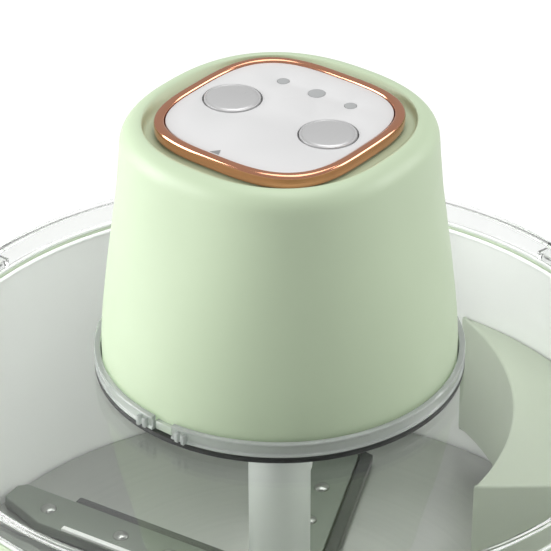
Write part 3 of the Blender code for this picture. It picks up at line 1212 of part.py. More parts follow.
def build_drive(frame):
    """Motor, its plate, the two-stage gears, bearings and coupling shaft."""
    seat = BEARING_RADIUS + FIT_GAP
    post_places = [polar(POST_CIRCLE_RADIUS, angle) for angle in POST_ANGLES]
    outlines = [
        circle(MOTOR_PLATE_RADIUS, steps=HEAD_STEPS),
        circle(seat, steps=SMALL_STEPS),
        circle(GEAR_BORE_RADIUS + FIT_GAP, COMPOUND_AXIS, SCREW_STEPS),
        circle(MOTOR_NOSE_RADIUS + FIT_GAP, MOTOR_AXIS, SMALL_STEPS),
    ]
    outlines += [circle(STAKE_RADIUS + SCREW_GAP, place, SCREW_STEPS) for place in post_places]
    add("motor_plate", plate(outlines, MOTOR_PLATE_BOTTOM, MOTOR_PLATE_TOP), ZINC, frame)

    shaft_bore = MOTOR_SHAFT_RADIUS + RUNNING_GAP
    profile = [
        (0.0, MOTOR_TOP + MOTOR_NOSE_LENGTH),
        (MOTOR_NOSE_RADIUS, MOTOR_TOP + MOTOR_NOSE_LENGTH),
        (MOTOR_NOSE_RADIUS, MOTOR_TOP),
        (MOTOR_RADIUS, MOTOR_TOP),
        (MOTOR_RADIUS, MOTOR_BOTTOM),
        (MOTOR_NOSE_RADIUS, MOTOR_BOTTOM),
        (MOTOR_NOSE_RADIUS, MOTOR_BOTTOM - MOTOR_NOSE_LENGTH),
        (shaft_bore, MOTOR_BOTTOM - MOTOR_NOSE_LENGTH),
        (shaft_bore, MOTOR_BOTTOM + MOTOR_SHAFT_ENTRY + FIT_GAP),
        (0.0, MOTOR_BOTTOM + MOTOR_SHAFT_ENTRY + FIT_GAP),
    ]
    add("drive_motor", at(turned(profile, MEDIUM_STEPS), MOTOR_AXIS), ZINC, frame)
    bearings = {
        "lower_bearing": (HEAD_PLATE_TOP, HEAD_PLATE_TOP + BEARING_WIDTH),
        "upper_bearing": (MOTOR_PLATE_BOTTOM, MOTOR_PLATE_TOP),
    }
    for name, (low, high) in bearings.items():
        add(name, ring(SHAFT_BORE_RADIUS, BEARING_RADIUS, low, high, SMALL_STEPS), BRASS, frame)
    pin = cylinder(GEAR_BORE_RADIUS, HEAD_PLATE_TOP + FIT_GAP, MOTOR_PLATE_TOP, COMPOUND_AXIS)
    add("gear_pin", pin, STEEL, frame)

    output_axis = joint_frame("output_axis")
    round_part = cylinder(SHAFT_RADIUS, HEAD_PLATE_TOP - SEAM_DEPTH, MOTOR_PLATE_TOP)
    shaft = add("output_shaft", round_part, STEEL, output_axis)
    join(shaft, plate([circle(COUPLING_RADIUS, steps=HEX_SIDES)], HEAD_PLATE_TOP - COUPLING_LENGTH,
                      HEAD_PLATE_TOP - FIT_GAP))
    outlines = [gear_outline(OUTPUT_TEETH, COMPOUND_ANGLE), circle(SHAFT_RADIUS + FIT_GAP)]
    add("output_gear", plate(outlines, LOWER_GEAR_BOTTOM, LOWER_GEAR_TOP), ACETAL, output_axis)

    compound_axis = joint_frame("compound_axis", COMPOUND_AXIS)
    small = gear_outline(SMALL_TEETH, COMPOUND_ANGLE + 180 + 180 / SMALL_TEETH)
    large = gear_outline(LARGE_TEETH, MOTOR_ANGLE)
    lower = at(plate([small], LOWER_GEAR_BOTTOM, UPPER_GEAR_BOTTOM + SEAM_DEPTH), COMPOUND_AXIS)
    upper = at(plate([large], UPPER_GEAR_BOTTOM, UPPER_GEAR_TOP), COMPOUND_AXIS)
    compound = add("compound_gear", upper, ACETAL, compound_axis)
    join(compound, lower)
    cut(compound, cylinder(GEAR_BORE_RADIUS + RUNNING_GAP, LOWER_GEAR_BOTTOM - CUT_OVERRUN,
                           UPPER_GEAR_TOP + CUT_OVERRUN, COMPOUND_AXIS))

    motor_axis = joint_frame("motor_axis", MOTOR_AXIS)
    pinion_phase = MOTOR_ANGLE + 180 + 180 / PINION_TEETH
    outlines = [gear_outline(PINION_TEETH, pinion_phase), circle(MOTOR_SHAFT_RADIUS + FIT_GAP)]
    pinion = at(plate(outlines, UPPER_GEAR_BOTTOM, UPPER_GEAR_TOP), MOTOR_AXIS)
    add("motor_pinion", pinion, BRASS, motor_axis)
    shaft_top = MOTOR_BOTTOM + MOTOR_SHAFT_ENTRY
    motor_shaft = cylinder(MOTOR_SHAFT_RADIUS, UPPER_GEAR_BOTTOM, shaft_top, MOTOR_AXIS)
    add("motor_shaft", motor_shaft, STEEL, motor_axis)


def build_battery(frame):
    """Battery cells, their holder and the charging socket."""
    along_x = Matrix.Rotation(math.radians(90), 4, "Y")
    cell = moved(cylinder(CELL_RADIUS, -CELL_LENGTH / 2, CELL_LENGTH / 2), along_x)
    holder_bottom = MOTOR_PLATE_TOP + FIT_GAP
    first = holder_bottom + HOLDER_WALL + FIT_GAP + CELL_RADIUS
    levels = [first, first + CELL_PITCH]
    for number, level in enumerate(levels, start=1):
        placed = moved(cell, Matrix.Translation((0.0, -CELL_OFFSET, level)))
        add(f"battery_cell_{number}", placed, CELL_BLUE, frame)
    half_length = CELL_LENGTH / 2 + FIT_GAP
    back = -CELL_OFFSET + CELL_RADIUS + FIT_GAP
    front = -CELL_OFFSET - CELL_RADIUS
    holder = box((-half_length - HOLDER_WALL, front, holder_bottom),
                 (half_length + HOLDER_WALL, back + HOLDER_WALL, holder_bottom + HOLDER_HEIGHT))
    obj = add("battery_holder", holder, BLACK_PLASTIC, frame)
    cut(obj, box((-half_length, front - CUT_OVERRUN, holder_bottom + HOLDER_WALL),
                 (half_length, back, holder_bottom + HOLDER_HEIGHT + CUT_OVERRUN)))

    middle = HEAD_BOTTOM + SOCKET_RISE
    face = HEAD_RADIUS * HEAD_SIZE_SHARES[3] - FIT_GAP
    body = box((-SOCKET_BODY_WIDTH / 2, face - SOCKET_BODY_LENGTH, middle - SOCKET_BODY_HEIGHT / 2),
               (SOCKET_BODY_WIDTH / 2, face, middle + SOCKET_BODY_HEIGHT / 2))
    socket = add("charge_socket", body, BLACK_PLASTIC, frame)
    cut(socket, box((-SOCKET_MOUTH_WIDTH / 2, face - SOCKET_MOUTH_DEPTH, middle - SOCKET_MOUTH_HEIGHT / 2),
                    (SOCKET_MOUTH_WIDTH / 2, face + CUT_OVERRUN, middle + SOCKET_MOUTH_HEIGHT / 2)))


def build_peeler():
    """Build every piece of the garlic peeler."""
    build_tub()
    build_spindle()
    build_guide_block()
    build_outlet()
    build_drawer()
    build_rotor()
    build_lid()
    frame = build_head_shell()
    build_panel(frame)
    build_head_plate(frame)
    build_drive(frame)
    build_battery(frame)
    bpy.context.view_layer.update()


build_peeler()
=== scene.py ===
"""Looks of the electric garlic peeler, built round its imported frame.

Lengths are in metres. The pieces are drawn about the machine's own axis and
then moved to where the frame holds that axis.
"""
import json
import logging
import math
from dataclasses import dataclass, field
from enum import Enum

import bmesh
import bpy
from mathutils import Matrix, Vector


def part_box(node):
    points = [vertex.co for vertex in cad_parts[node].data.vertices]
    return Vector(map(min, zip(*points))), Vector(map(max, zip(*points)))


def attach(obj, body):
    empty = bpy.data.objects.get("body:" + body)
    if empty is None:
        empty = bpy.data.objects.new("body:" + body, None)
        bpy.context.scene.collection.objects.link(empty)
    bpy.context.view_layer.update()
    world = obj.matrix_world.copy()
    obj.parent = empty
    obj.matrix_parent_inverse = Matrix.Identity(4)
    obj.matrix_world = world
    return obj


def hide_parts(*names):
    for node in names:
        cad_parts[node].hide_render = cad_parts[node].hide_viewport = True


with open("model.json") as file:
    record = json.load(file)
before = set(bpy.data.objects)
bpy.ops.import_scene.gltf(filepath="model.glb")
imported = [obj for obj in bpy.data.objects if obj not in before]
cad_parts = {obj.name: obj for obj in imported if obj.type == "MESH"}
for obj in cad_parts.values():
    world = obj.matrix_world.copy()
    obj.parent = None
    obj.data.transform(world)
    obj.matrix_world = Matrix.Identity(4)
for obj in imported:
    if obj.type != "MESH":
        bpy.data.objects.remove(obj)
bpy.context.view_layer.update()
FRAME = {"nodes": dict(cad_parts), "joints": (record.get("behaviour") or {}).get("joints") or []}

LOG = logging.getLogger("garlic_peeler")
AXIS = Vector(next(joint["pos_m"] for joint in FRAME["joints"] if joint["name"] == "disc_spin")).to_2d().to_3d()
Point = tuple[float, float]
Outline = list[Point]
# Margins of cutting tools, and the least turn that is rounded where arcs have many short stretches
CUT_MARGIN = 0.0040
TOOL_EDGE = 0.0001
SECTOR_TURN = 40.0
ROUND_TURN = 30.0


# Outlines
def polar(radius: float, degrees: float, centre: Point = (0.0, 0.0)) -> Point:
    """Point at a radius and an angle from +X about a centre."""
    angle = math.radians(degrees)
    return centre[0] + radius * math.cos(angle), centre[1] + radius * math.sin(angle)


def arc(radius: float, start: float, end: float, steps: int, centre: Point = (0.0, 0.0)) -> Outline:
    """Points along an arc, both ends included.

    Args:
        radius: Radius of the arc.
        start: First angle in degrees.
        end: Last angle in degrees.
        steps: Number of stretches.
        centre: Middle of the arc.

    Returns:
        The points in order.
    """
    return [polar(radius, start + (end - start) * index / steps, centre) for index in range(steps + 1)]


def circle(radius: float, steps: int = 96, centre: Point = (0.0, 0.0)) -> Outline:
    """Points round a circle."""
    return [polar(radius, 360 * index / steps, centre) for index in range(steps)]


def rounded_square(half_size: float, exponent: float, steps: int = 192) -> Outline:
    """Superellipse: a circle at exponent 2, squarer above.

    Args:
        half_size: Half of its width.
        exponent: How square it is.
        steps: Number of points.

    Returns:
        The points, anticlockwise.
    """
    points = []
    for index in range(steps):
        angle = 2 * math.pi * index / steps
        spread = abs(math.cos(angle)) ** exponent + abs(math.sin(angle)) ** exponent
        radius = half_size / spread ** (1 / exponent)
        points.append((radius * math.cos(angle), radius * math.sin(angle)))
    return points


def sector(inner: float, outer: float, middle: float, spread: float, steps: int = 24) -> Outline:
    """Outline of a ring's sector about the axis."""
    start, end = middle - spread / 2, middle + spread / 2
    return arc(outer, start, end, steps) + arc(inner, end, start, steps)


def rectangle(low: Point, high: Point) -> Outline:
    """Four corners, anticlockwise."""
    return [low, (high[0], low[1]), high, (low[0], high[1])]


def rounded(outline: Outline, radius: float, steps: int = 4, least_turn: float = 20.0) -> Outline:
    """Round the corners of a closed outline.

    Args:
        outline: Corners in order.
        radius: Radius wanted; a short side lowers it at its corners.
        steps: Stretches at each corner.
        least_turn: Corners that turn by fewer degrees stay.

    Returns:
        The outline with an arc at each corner.
    """
    result: Outline = []
    count = len(outline)
    for index, corner in enumerate(outline):
        here = Vector(corner)
        before = Vector(outline[index - 1]) - here
        after = Vector(outline[(index + 1) % count]) - here
        turn = math.pi - before.angle(after)
        if math.degrees(turn) < least_turn:
            result.append(corner)
            continue
        reach = min(radius * math.tan(turn / 2), 0.45 * before.length, 0.45 * after.length)
        start, end = here + before.normalized() * reach, here + after.normalized() * reach
        for step in range(steps + 1):
            share = step / steps
            point = start * (1 - share) ** 2 + here * 2 * share * (1 - share) + end * share ** 2
            result.append((point.x, point.y))
    return result


def inset(outline: Outline, distance: float) -> Outline:
    """Anticlockwise outline moved inwards by a distance."""
    points = [Vector(point) for point in outline]
    result = []
    for index, point in enumerate(points):
        before = (point - points[index - 1]).normalized()
        after = (points[(index + 1) % len(points)] - point).normalized()
        normal = Vector((-before.y - after.y, before.x + after.x)).normalized()
        stretch = max(normal.dot(Vector((-before.y, before.x))), 0.5)
        moved = point + normal * distance / stretch
        result.append((moved.x, moved.y))
    return result


# Meshes
def mesh_from(bm: bmesh.types.BMesh, weld: float = 2e-6) -> bpy.types.Mesh:
    """Closed mesh of a bmesh, welded, with its faces pointing out."""
    bmesh.ops.remove_doubles(bm, verts=bm.verts, dist=weld)
    bmesh.ops.recalc_face_normals(bm, faces=bm.faces)
    mesh = bpy.data.meshes.new("piece")
    bm.to_mesh(mesh)
    bm.free()
    return mesh


def skin(rows: list[list[Vector]], closed: bool, caps: bool = False) -> bmesh.types.BMesh:
    """Faces between rows of as many points.

    Args:
        rows: Rings of points, each a closed loop.
        closed: Whether the last row joins the first.
        caps: Whether the first and the last row are filled.

    Returns:
        The new bmesh.
    """
    bm = bmesh.new()
    rings = [[bm.verts.new(point) for point in row] for row in rows]
    pairs = list(zip(rings, rings[1:]))
    if closed:
        pairs.append((rings[-1], rings[0]))
    for upper, lower in pairs:
        for index in range(len(upper)):
            after = (index + 1) % len(upper)
            bm.faces.new((upper[index], lower[index], lower[after], upper[after]))
    if caps:
        bm.faces.new(rings[0])
        bm.faces.new(list(reversed(rings[-1])))
    return bm


def turned(profile: Outline, steps: int = 256) -> bpy.types.Mesh:
    """Closed profile of (radius, height) points turned about the axis."""
    rows = []
    for radius, height in profile:
        rows.append([Vector((*polar(radius, 360 * index / steps), height)) for index in range(steps)])
    return mesh_from(skin(rows, closed=True))


def rounded_plate(outlines: list[Outline], bottom: float, top: float, edge: float, steps: int = 3) -> bpy.types.Mesh:
    """Plate with rounded edges.

    Args:
        outlines: Outer outline, anticlockwise, and any holes after it.
        bottom: Height of its underside.
        top: Height of its top.
        edge: Radius of its edges.
        steps: Stretches over each edge.

    Returns:
        The closed mesh.
    """
    bm = bmesh.new()
    rims: dict[int, list[bmesh.types.BMEdge]] = {0: [], 1: []}
    bend = [math.radians(90 * step / steps) for step in range(steps + 1)]
    rows = [(edge * (1 - math.sin(angle)), top - edge * (1 - math.cos(angle))) for angle in bend]
    rows += [(edge * (1 - math.cos(angle)), bottom + edge * (1 - math.sin(angle))) for angle in bend]
    for number, outline in enumerate(outlines):
        sign = 1 if number == 0 else -1
        rings = []
        for distance, height in rows:
            points = inset(outline, sign * distance)
            rings.append([bm.verts.new((x, y, height)) for x, y in points])
        for upper, lower in zip(rings, rings[1:]):
            for index in range(len(upper)):
                after = (index + 1) % len(upper)
                bm.faces.new((upper[index], lower[index], lower[after], upper[after]))
        for side, ring in ((0, rings[0]), (1, rings[-1])):
            for index in range(len(ring)):
                rims[side].append(bm.edges.get((ring[index], ring[(index + 1) % len(ring)])))
    for edges in rims.values():
        bmesh.ops.triangle_fill(bm, use_beauty=True, use_dissolve=False, edges=edges)
    return mesh_from(bm)


def rounded_box(low: tuple[float, float, float], high: tuple[float, float, float], edge: float,
                steps: int = 3) -> bpy.types.Mesh:
    """Box with rounded edges between two corners."""
    outline = rounded(rectangle(low[:2], high[:2]), edge * 1.2, steps)
    return rounded_plate([outline], low[2], high[2], edge, steps)


def moved(mesh: bpy.types.Mesh, matrix: Matrix) -> bpy.types.Mesh:
    """Copy of a mesh, moved by a matrix."""
    copy = mesh.copy()
    copy.transform(matrix)
    return copy


def gathered(meshes: list[bpy.types.Mesh]) -> bpy.types.Mesh:
    """One mesh of several closed shells."""
    bm = bmesh.new()
    for mesh in meshes:
        bm.from_mesh(mesh)
    mesh = bpy.data.meshes.new("piece")
    bm.to_mesh(mesh)
    bm.free()
    return mesh


def evaluated(obj: bpy.types.Object) -> bpy.types.Mesh:
    """Plain mesh of an object with its modifiers; the object is removed."""
    bpy.context.scene.collection.objects.link(obj)
    graph = bpy.context.evaluated_depsgraph_get()
    mesh = bpy.data.meshes.new_from_object(obj.evaluated_get(graph))
    bpy.data.objects.remove(obj)
    return mesh


def without(mesh: bpy.types.Mesh, *tools: bpy.types.Mesh) -> bpy.types.Mesh:
    """Mesh with tools cut out of it, one after another."""
    obj = bpy.data.objects.new("work", mesh)
    helpers = []
    for tool in tools:
        helper = bpy.data.objects.new("tool", tool)
        bpy.context.scene.collection.objects.link(helper)
        modifier = obj.modifiers.new("cut", "BOOLEAN")
        modifier.object = helper
        modifier.operation = "DIFFERENCE"
        modifier.solver = "EXACT"
        helpers.append(helper)
    result = evaluated(obj)
    for helper in helpers:
        bpy.data.objects.remove(helper)
    return result


def softened(node: str, width: float, segments: int = 3) -> bpy.types.Mesh:
    """Copy of a CAD node's mesh with bevelled edges.

    Args:
        node: Name of the CAD node.
        width: Width of the bevels.
        segments: Stretches over each bevel.

    Returns:
        The closed mesh, in the frame's place.
    """
    bm = bmesh.new()
    bm.from_mesh(FRAME["nodes"][node].data)
    bmesh.ops.remove_doubles(bm, verts=bm.verts, dist=2e-6)
    bmesh.ops.dissolve_limit(bm, angle_limit=math.radians(1), verts=bm.verts, edges=bm.edges)
    mesh = bpy.data.meshes.new("piece")
    bm.to_mesh(mesh)
    bm.free()
    obj = bpy.data.objects.new("work", mesh)
    bevel = obj.modifiers.new("edges", "BEVEL")
    bevel.width = width
    bevel.segments = segments
    bevel.limit_method = "ANGLE"
    bevel.angle_limit = math.radians(35)
    bevel.harden_normals = False
    return evaluated(obj)


# Repeats by Geometry Nodes
def start_tree(name: str, inputs: dict[str, str]) -> tuple[bpy.types.NodeTree, bpy.types.Node]:
    """New geometry tree with named inputs, one of them a Material, and one output.

    Args:
        name: Name of the tree.
        inputs: Kind of socket for each input's name.

    Returns:
        The tree and its input node.
    """
    tree = bpy.data.node_groups.new(name, "GeometryNodeTree")
    for label, kind in {**inputs, "Material": "Material"}.items():
        tree.interface.new_socket(name=label, in_out="INPUT", socket_type=f"NodeSocket{kind}")
    tree.interface.new_socket(name="Geometry", in_out="OUTPUT", socket_type="NodeSocketGeometry")
    return tree, tree.nodes.new("NodeGroupInput")


def finish_tree(tree: bpy.types.NodeTree, source: bpy.types.Node, instances: bpy.types.NodeSocket) -> None:
    """End a tree with Realize Instances and Set Material."""
    add, link = tree.nodes.new, tree.links.new
    real, paint = add("GeometryNodeRealizeInstances"), add("GeometryNodeSetMaterial")
    result = add("NodeGroupOutput")
    link(instances, real.inputs["Geometry"])
    link(real.outputs["Geometry"], paint.inputs["Geometry"])
    link(source.outputs["Material"], paint.inputs["Material"])
    link(paint.outputs["Geometry"], result.inputs["Geometry"])


def grown(mesh: bpy.types.Mesh, tree: bpy.types.NodeTree, values: dict[str, object]) -> bpy.types.Mesh:
    """Plain mesh of what a tree makes of a mesh.

    Args:
        mesh: Mesh that goes in.
        tree: Geometry tree.
        values: Value of each input by its name.

    Returns:
        The new mesh.
    """
    obj = bpy.data.objects.new("work", mesh)
    modifier = obj.modifiers.new("growth", "NODES")
    modifier.node_group = tree
    for item in tree.interface.items_tree:
        if item.in_out == "INPUT" and values.get(item.name) is not None:
            modifier[item.identifier] = values[item.name]
    return evaluated(obj)


@dataclass(frozen=True)
class TurnedRow:
    """Copies of a piece, evenly turned about the machine's axis by a node tree."""

    copies: int
    first_angle: float

    def tree(self) -> bpy.types.NodeTree:
        """Node tree with the inputs Copies and First Angle, built once."""
        name = "turned_row"
        if name in bpy.data.node_groups:
            return bpy.data.node_groups[name]
        tree, source = start_tree(name, {"Piece": "Geometry", "Copies": "Int", "First Angle": "Float"})
        add, link = tree.nodes.new, tree.links.new
        line = add("GeometryNodeMeshLine")
        line.inputs["Offset"].default_value = (0.0, 0.0, 0.0)
        link(source.outputs["Copies"], line.inputs["Count"])
        step, index, angle = add("ShaderNodeMath"), add("GeometryNodeInputIndex"), add("ShaderNodeMath")
        step.operation = "DIVIDE"
        step.inputs[0].default_value = 2 * math.pi
        link(source.outputs["Copies"], step.inputs[1])
        angle.operation = "MULTIPLY_ADD"
        link(index.outputs["Index"], angle.inputs[0])
        link(step.outputs[0], angle.inputs[1])
        link(source.outputs["First Angle"], angle.inputs[2])
        turn, place = add("ShaderNodeCombineXYZ"), add("GeometryNodeInstanceOnPoints")
        link(angle.outputs[0], turn.inputs["Z"])
        link(line.outputs["Mesh"], place.inputs["Points"])
        link(source.outputs["Piece"], place.inputs["Instance"])
        link(turn.outputs[0], place.inputs["Rotation"])
        finish_tree(tree, source, place.outputs["Instances"])
        return tree

    def of(self, mesh: bpy.types.Mesh, material: bpy.types.Material | None = None) -> bpy.types.Mesh:
        """Plain mesh of the copies of a piece drawn at angle 0."""
        first = math.radians(self.first_angle)
        return grown(mesh, self.tree(), {"Copies": self.copies, "First Angle": first, "Material": material})


@dataclass(frozen=True)
class RivetRow:
    """Domed rivets along one arm, made by a node tree."""

    radii: tuple[float, float, float]
    head_radius: float
    crown: float
    level: float
    segments: int = 24
    rings: int = 12

    def tree(self, labels: tuple[str, ...]) -> bpy.types.NodeTree:
        """Node tree that sets a dome at each of the labelled radii."""
        sizes = (*labels, "Head Radius", "Crown", "Level")
        tree, source = start_tree("rivet_row", {"Base": "Geometry", **{label: "Float" for label in sizes}})
        add, link = tree.nodes.new, tree.links.new
        join = add("GeometryNodeJoinGeometry")
        for label in labels:
            point, spot = add("GeometryNodeMeshLine"), add("ShaderNodeCombineXYZ")
            point.inputs["Count"].default_value = 1
            link(source.outputs[label], spot.inputs["X"])
            link(source.outputs["Level"], spot.inputs["Z"])
            link(spot.outputs[0], point.inputs["Start Location"])
            link(point.outputs["Mesh"], join.inputs["Geometry"])
        ball, size, place = (add("GeometryNodeMeshUVSphere"), add("ShaderNodeCombineXYZ"),
                             add("GeometryNodeInstanceOnPoints"))
        ball.inputs["Segments"].default_value = self.segments
        ball.inputs["Rings"].default_value = self.rings
        ball.inputs["Radius"].default_value = 1.0
        for axis, label in (("X", "Head Radius"), ("Y", "Head Radius"), ("Z", "Crown")):
            link(source.outputs[label], size.inputs[axis])
        link(join.outputs["Geometry"], place.inputs["Points"])
        link(ball.outputs["Mesh"], place.inputs["Instance"])
        link(size.outputs[0], place.inputs["Scale"])
        finish_tree(tree, source, place.outputs["Instances"])
        return tree

    def build(self) -> bpy.types.Mesh:
        """Plain mesh of the arm's three rivets."""
        labels = ("Inner Radius", "Middle Radius", "Outer Radius")
        values = {**dict(zip(labels, self.radii)), "Head Radius": self.head_radius, "Crown": self.crown,
                  "Level": self.level}
        return grown(bpy.data.meshes.new("seed"), self.tree(labels), values)


@dataclass(frozen=True)
class LugRow:
    """Lugs round the rim, drawn alike on the lid and on the tub."""

    root: float = 0.1234
    reach: float = 0.1300
    angle: float = 19.0
    corner: float = 0.0016
    first: float = 69.5
    copies: int = 3

    def build(self, bottom: float, top: float, edge: float) -> bpy.types.Mesh:
        """Plain mesh of the lugs between two heights."""
        outline = rounded(sector(self.root, self.reach, 0.0, self.angle), self.corner, 5, SECTOR_TURN)
        return TurnedRow(self.copies, self.first).of(rounded_plate([outline], bottom, top, edge))


# Finishes
def linear(*rgb: int) -> tuple[float, float, float, float]:
    """Linear colour of 0 to 255 screen values."""
    parts = [value / 255 for value in rgb]
    return (*[part / 12.92 if part <= 0.04045 else ((part + 0.055) / 1.055) ** 2.4 for part in parts], 1.0)


class Brush(Enum):
    """Which way a metal's fine lines run."""

    ROUND = "round"
    ALONG = "along"


@dataclass(frozen=True)
class Finish:
    """Base of all finishes: a Principled material on Object coordinates."""

    name: str
    colour: tuple[int, int, int]
    roughness: float = 0.4

    def start(self) -> tuple[bpy.types.Material, bpy.types.Node, bpy.types.Node]:
        """New material with its shader and a Mapping node centred on the machine's axis."""
        material = bpy.data.materials.new(self.name)
        material.use_nodes = True
        shader = material.node_tree.nodes["Principled BSDF"]
        shader.inputs["Roughness"].default_value = self.roughness
        shader.inputs["Base Color"].default_value = linear(*self.colour)
        place = material.node_tree.nodes.new("ShaderNodeTexCoord")
        centre = material.node_tree.nodes.new("ShaderNodeMapping")
        centre.inputs["Location"].default_value = -AXIS
        material.node_tree.links.new(place.outputs["Object"], centre.inputs["Vector"])
        return material, shader, centre

    def noise(self, material: bpy.types.Material, source: bpy.types.NodeSocket, scale: float,
              detail: float = 3.0) -> bpy.types.NodeSocket:
        """Noise on a vector, as a factor."""
        node = material.node_tree.nodes.new("ShaderNodeTexNoise")
        node.inputs["Scale"].default_value = scale
        node.inputs["Detail"].default_value = detail
        material.node_tree.links.new(source, node.inputs["Vector"])
        return node.outputs["Fac"]

    def spread(self, material: bpy.types.Material, source: bpy.types.NodeSocket, low: float,
               high: float) -> bpy.types.NodeSocket:
        """Factor from 0.3 to 0.7 mapped to a range."""
        node = material.node_tree.nodes.new("ShaderNodeMapRange")
        for name, value in (("From Min", 0.3), ("From Max", 0.7), ("To Min", low), ("To Max", high)):
            node.inputs[name].default_value = value
        material.node_tree.links.new(source, node.inputs["Value"])
        return node.outputs["Result"]

    def tone(self, material: bpy.types.Material, shader: bpy.types.Node, factor: bpy.types.NodeSocket,
             depth: float) -> None:
        """Vary the base colour by a factor, a share darker and lighter."""
        nodes, links = material.node_tree.nodes, material.node_tree.links
        mix = nodes.new("ShaderNodeMix")
        mix.data_type = "RGBA"
        base = linear(*self.colour)
        for key, share in (("A", 1 - depth), ("B", 1 + depth)):
            socket = next(s for s in mix.inputs if s.name == key and s.type == "RGBA")
            socket.default_value = (*[min(part * share, 1.0) for part in base[:3]], 1.0)
        links.new(factor, mix.inputs["Factor"])
        result = next(s for s in mix.outputs if s.type == "RGBA")
        links.new(result, shader.inputs["Base Color"])

    def bump(self, material: bpy.types.Material, shader: bpy.types.Node, height: bpy.types.NodeSocket,
             distance: float, strength: float = 1.0) -> None:
        """Bump of a height factor on the shader's normal."""
        node = material.node_tree.nodes.new("ShaderNodeBump")
        node.inputs["Distance"].default_value = distance
        node.inputs["Strength"].default_value = strength
        material.node_tree.links.new(height, node.inputs["Height"])
        material.node_tree.links.new(node.outputs["Normal"], shader.inputs["Normal"])


@dataclass(frozen=True)
class Moulded(Finish):
    """Moulded plastic or rubber: faint mottle, uneven gloss and a fine skin."""

    mottle: float = 0.02
    gloss_spread: float = 0.05
    skin: float = 0.00002
    coat: float = 0.0
    sheen: float = 0.0

    def build(self) -> bpy.types.Material:
        """The finished material."""
        material, shader, centre = self.start()
        cloud = self.noise(material, centre.outputs[0], 22.0, 4.0)
        self.tone(material, shader, self.spread(material, cloud, 0.0, 1.0), self.mottle)
        patch = self.noise(material, centre.outputs[0], 90.0, 3.0)
        gloss = self.spread(material, patch, self.roughness - self.gloss_spread, self.roughness + self.gloss_spread)
        material.node_tree.links.new(gloss, shader.inputs["Roughness"])
        self.bump(material, shader, self.noise(material, centre.outputs[0], 1400.0, 2.0), self.skin, 0.6)
        shader.inputs["Coat Weight"].default_value = self.coat
        shader.inputs["Coat Roughness"].default_value = 0.12
        shader.inputs["Sheen Weight"].default_value = self.sheen
        return material


@dataclass(frozen=True)
class Brushed(Finish):
    """Metal with fine brushed lines, round the axis or along one side."""

    brush: Brush = Brush.ROUND
    lines: float = 900.0
    depth: float = 0.00001
    shade: float = 0.05
    gloss_spread: float = 0.06
    metallic: float = 1.0

    def build(self) -> bpy.types.Material:
        """The finished material."""
        material, shader, centre = self.start()
        nodes, links = material.node_tree.nodes, material.node_tree.links
        shader.inputs["Metallic"].default_value = self.metallic
        split, join = nodes.new("ShaderNodeSeparateXYZ"), nodes.new("ShaderNodeCombineXYZ")
        links.new(centre.outputs[0], split.inputs[0])
        if self.brush is Brush.ROUND:
            flat, length = nodes.new("ShaderNodeCombineXYZ"), nodes.new("ShaderNodeVectorMath")
            length.operation = "LENGTH"
            links.new(split.outputs["X"], flat.inputs["X"])
            links.new(split.outputs["Y"], flat.inputs["Y"])
            links.new(flat.outputs[0], length.inputs[0])
            links.new(length.outputs["Value"], join.inputs["X"])
        else:
            links.new(split.outputs["X"], join.inputs["X"])
        links.new(split.outputs["Z"], join.inputs["Z"])
        lines = self.noise(material, join.outputs[0], self.lines, 3.0)
        cloud = self.noise(material, centre.outputs[0], 30.0, 3.0)
        blend = nodes.new("ShaderNodeMath")
        blend.operation = "MULTIPLY_ADD"
        blend.inputs[1].default_value = 0.35
        links.new(cloud, blend.inputs[0])
        scaled = nodes.new("ShaderNodeMath")
        scaled.operation = "MULTIPLY"
        scaled.inputs[1].default_value = 0.65
        links.new(lines, scaled.inputs[0])
        links.new(scaled.outputs[0], blend.inputs[2])
        factor = blend.outputs[0]
        self.tone(material, shader, self.spread(material, factor, 0.0, 1.0), self.shade)
        gloss = self.spread(material, factor, self.roughness - self.gloss_spread, self.roughness + self.gloss_spread)
        links.new(gloss, shader.inputs["Roughness"])
        self.bump(material, shader, lines, self.depth, 0.5)
        return material


@dataclass(frozen=True)
class Clear(Finish):
    """Clear plastic that lets lamp light through, with faint wiping marks."""

    ior: float = 1.49
    marks: float = 0.012
    clearness: float = 1.0

    def build(self) -> bpy.types.Material:
        """The finished material."""
        material, shader, centre = self.start()
        nodes, links = material.node_tree.nodes, material.node_tree.links
        shader.inputs["Transmission Weight"].default_value = self.clearness
        shader.inputs["IOR"].default_value = self.ior
        cloud = self.noise(material, centre.outputs[0], 14.0, 4.0)
        gloss = self.spread(material, cloud, self.roughness, self.roughness + self.marks)
        links.new(gloss, shader.inputs["Roughness"])
        path, open_way, mix = nodes.new("ShaderNodeLightPath"), nodes.new("ShaderNodeBsdfTransparent"), nodes.new(
            "ShaderNodeMixShader")
        open_way.inputs["Color"].default_value = linear(*self.colour)
        links.new(path.outputs["Is Shadow Ray"], mix.inputs["Fac"])
        links.new(shader.outputs[0], mix.inputs[1])
        links.new(open_way.outputs[0], mix.inputs[2])
        links.new(mix.outputs[0], nodes["Material Output"].inputs["Surface"])
        return material


